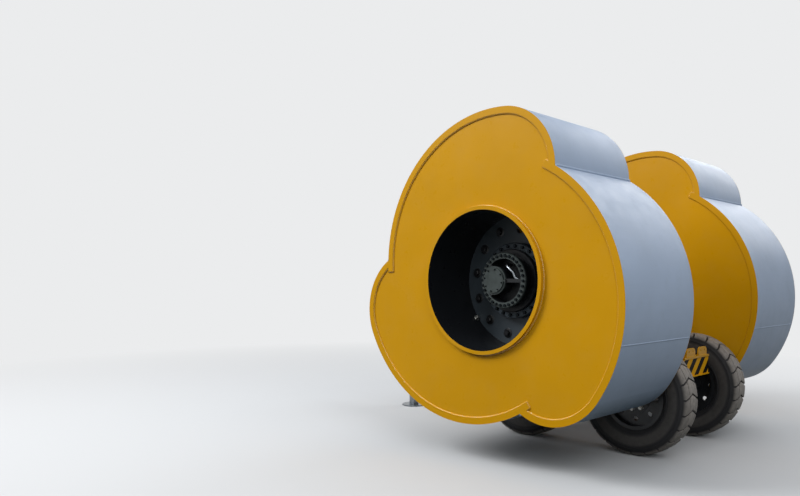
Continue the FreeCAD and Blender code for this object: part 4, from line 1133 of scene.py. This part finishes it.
def floor_finish(backdrop):
    """Pale matt floor that keeps the shadow and fades into the backdrop; little light comes back from it."""
    material, tree, shader, where = new_finish("pale_floor")
    shader.inputs["Base Color"].default_value = linear("#BFC1C3")
    shader.inputs["Roughness"].default_value = 0.9
    distance = add(tree, "ShaderNodeVectorMath", {0: where}, operation="LENGTH").outputs["Value"]
    near, beyond = FLOOR_FADE
    far = add(tree, "ShaderNodeMapRange", {"Value": distance, "From Min": near, "From Max": beyond})
    glow = add(tree, "ShaderNodeEmission", {"Color": backdrop, "Strength": 1.0})
    blend = add(tree, "ShaderNodeMixShader", {0: far, 1: shader, 2: glow})
    dull = add(tree, "ShaderNodeBsdfDiffuse", {"Color": linear("#2E3833")})
    both = add(tree, "ShaderNodeMixShader", {0: seen_directly(tree), 1: dull, 2: blend})
    tree.links.new(both.outputs[0], tree.nodes["Material Output"].inputs["Surface"])
    return material


def photograph_camera():
    """The camera at the photograph's viewing angle, for a picture of 800 by 496."""
    data = bpy.data.cameras.new("camera")
    width, height = PICTURE
    data.sensor_width = SENSOR_MM
    data.lens = FOCAL_PIXELS * SENSOR_MM / width
    data.shift_x = (width / 2 - VIEW_MIDDLE[0]) / width
    data.shift_y = (VIEW_MIDDLE[1] - height / 2) / width
    data.clip_end = 300.0
    camera = shown("camera", data)
    level = cos(PITCH)
    ahead = Vector((level * cos(YAW), level * sin(YAW), sin(PITCH)))
    right = ahead.cross(Vector((0, 0, 1))).normalized()
    up = right.cross(ahead)
    across = right * cos(ROLL) + up * sin(ROLL)
    above = up * cos(ROLL) - right * sin(ROLL)
    turn = Matrix((across, above, -ahead)).transposed().to_4x4()
    camera.matrix_world = Matrix.Translation(DRUM_CENTRE + CAMERA_PLACE) @ turn
    return camera


class ROLLER_PT_panel(bpy.types.Panel):
    """Lists the roller's steps and settings"""

    bl_idname = "ROLLER_PT_panel"
    bl_label = "Impact roller"
    bl_space_type = "VIEW_3D"
    bl_region_type = "UI"
    bl_category = "Roller"

    def draw(self, context):
        for group in (context.scene.roller_colours, context.scene.roller_sizes):
            for key in group.__annotations__:
                self.layout.prop(group, key)
        for step in STEPS:
            self.layout.operator(step.bl_idname)


STEPS = (ROLLER_OT_paint, ROLLER_OT_drum_welds, ROLLER_OT_frame_welds, ROLLER_OT_hub_bolts,
         ROLLER_OT_hub_pipes, ROLLER_OT_tyres, ROLLER_OT_wheel_nuts, ROLLER_OT_frame_bolts, ROLLER_OT_stage)
CLASSES = (RollerColours, RollerSizes, *STEPS, ROLLER_PT_panel)


def register():
    for kind in CLASSES:
        bpy.utils.register_class(kind)
    bpy.types.Scene.roller_colours = bpy.props.PointerProperty(type=RollerColours)
    bpy.types.Scene.roller_sizes = bpy.props.PointerProperty(type=RollerSizes)


def unregister():
    del bpy.types.Scene.roller_sizes
    del bpy.types.Scene.roller_colours
    for kind in reversed(CLASSES):
        bpy.utils.unregister_class(kind)


def main():
    register()
    ring_tree()
    bead_tree()
    for step in STEPS:
        getattr(bpy.ops.roller, step.bl_idname.split(".")[1])()


if __name__ == "__main__":
    main()
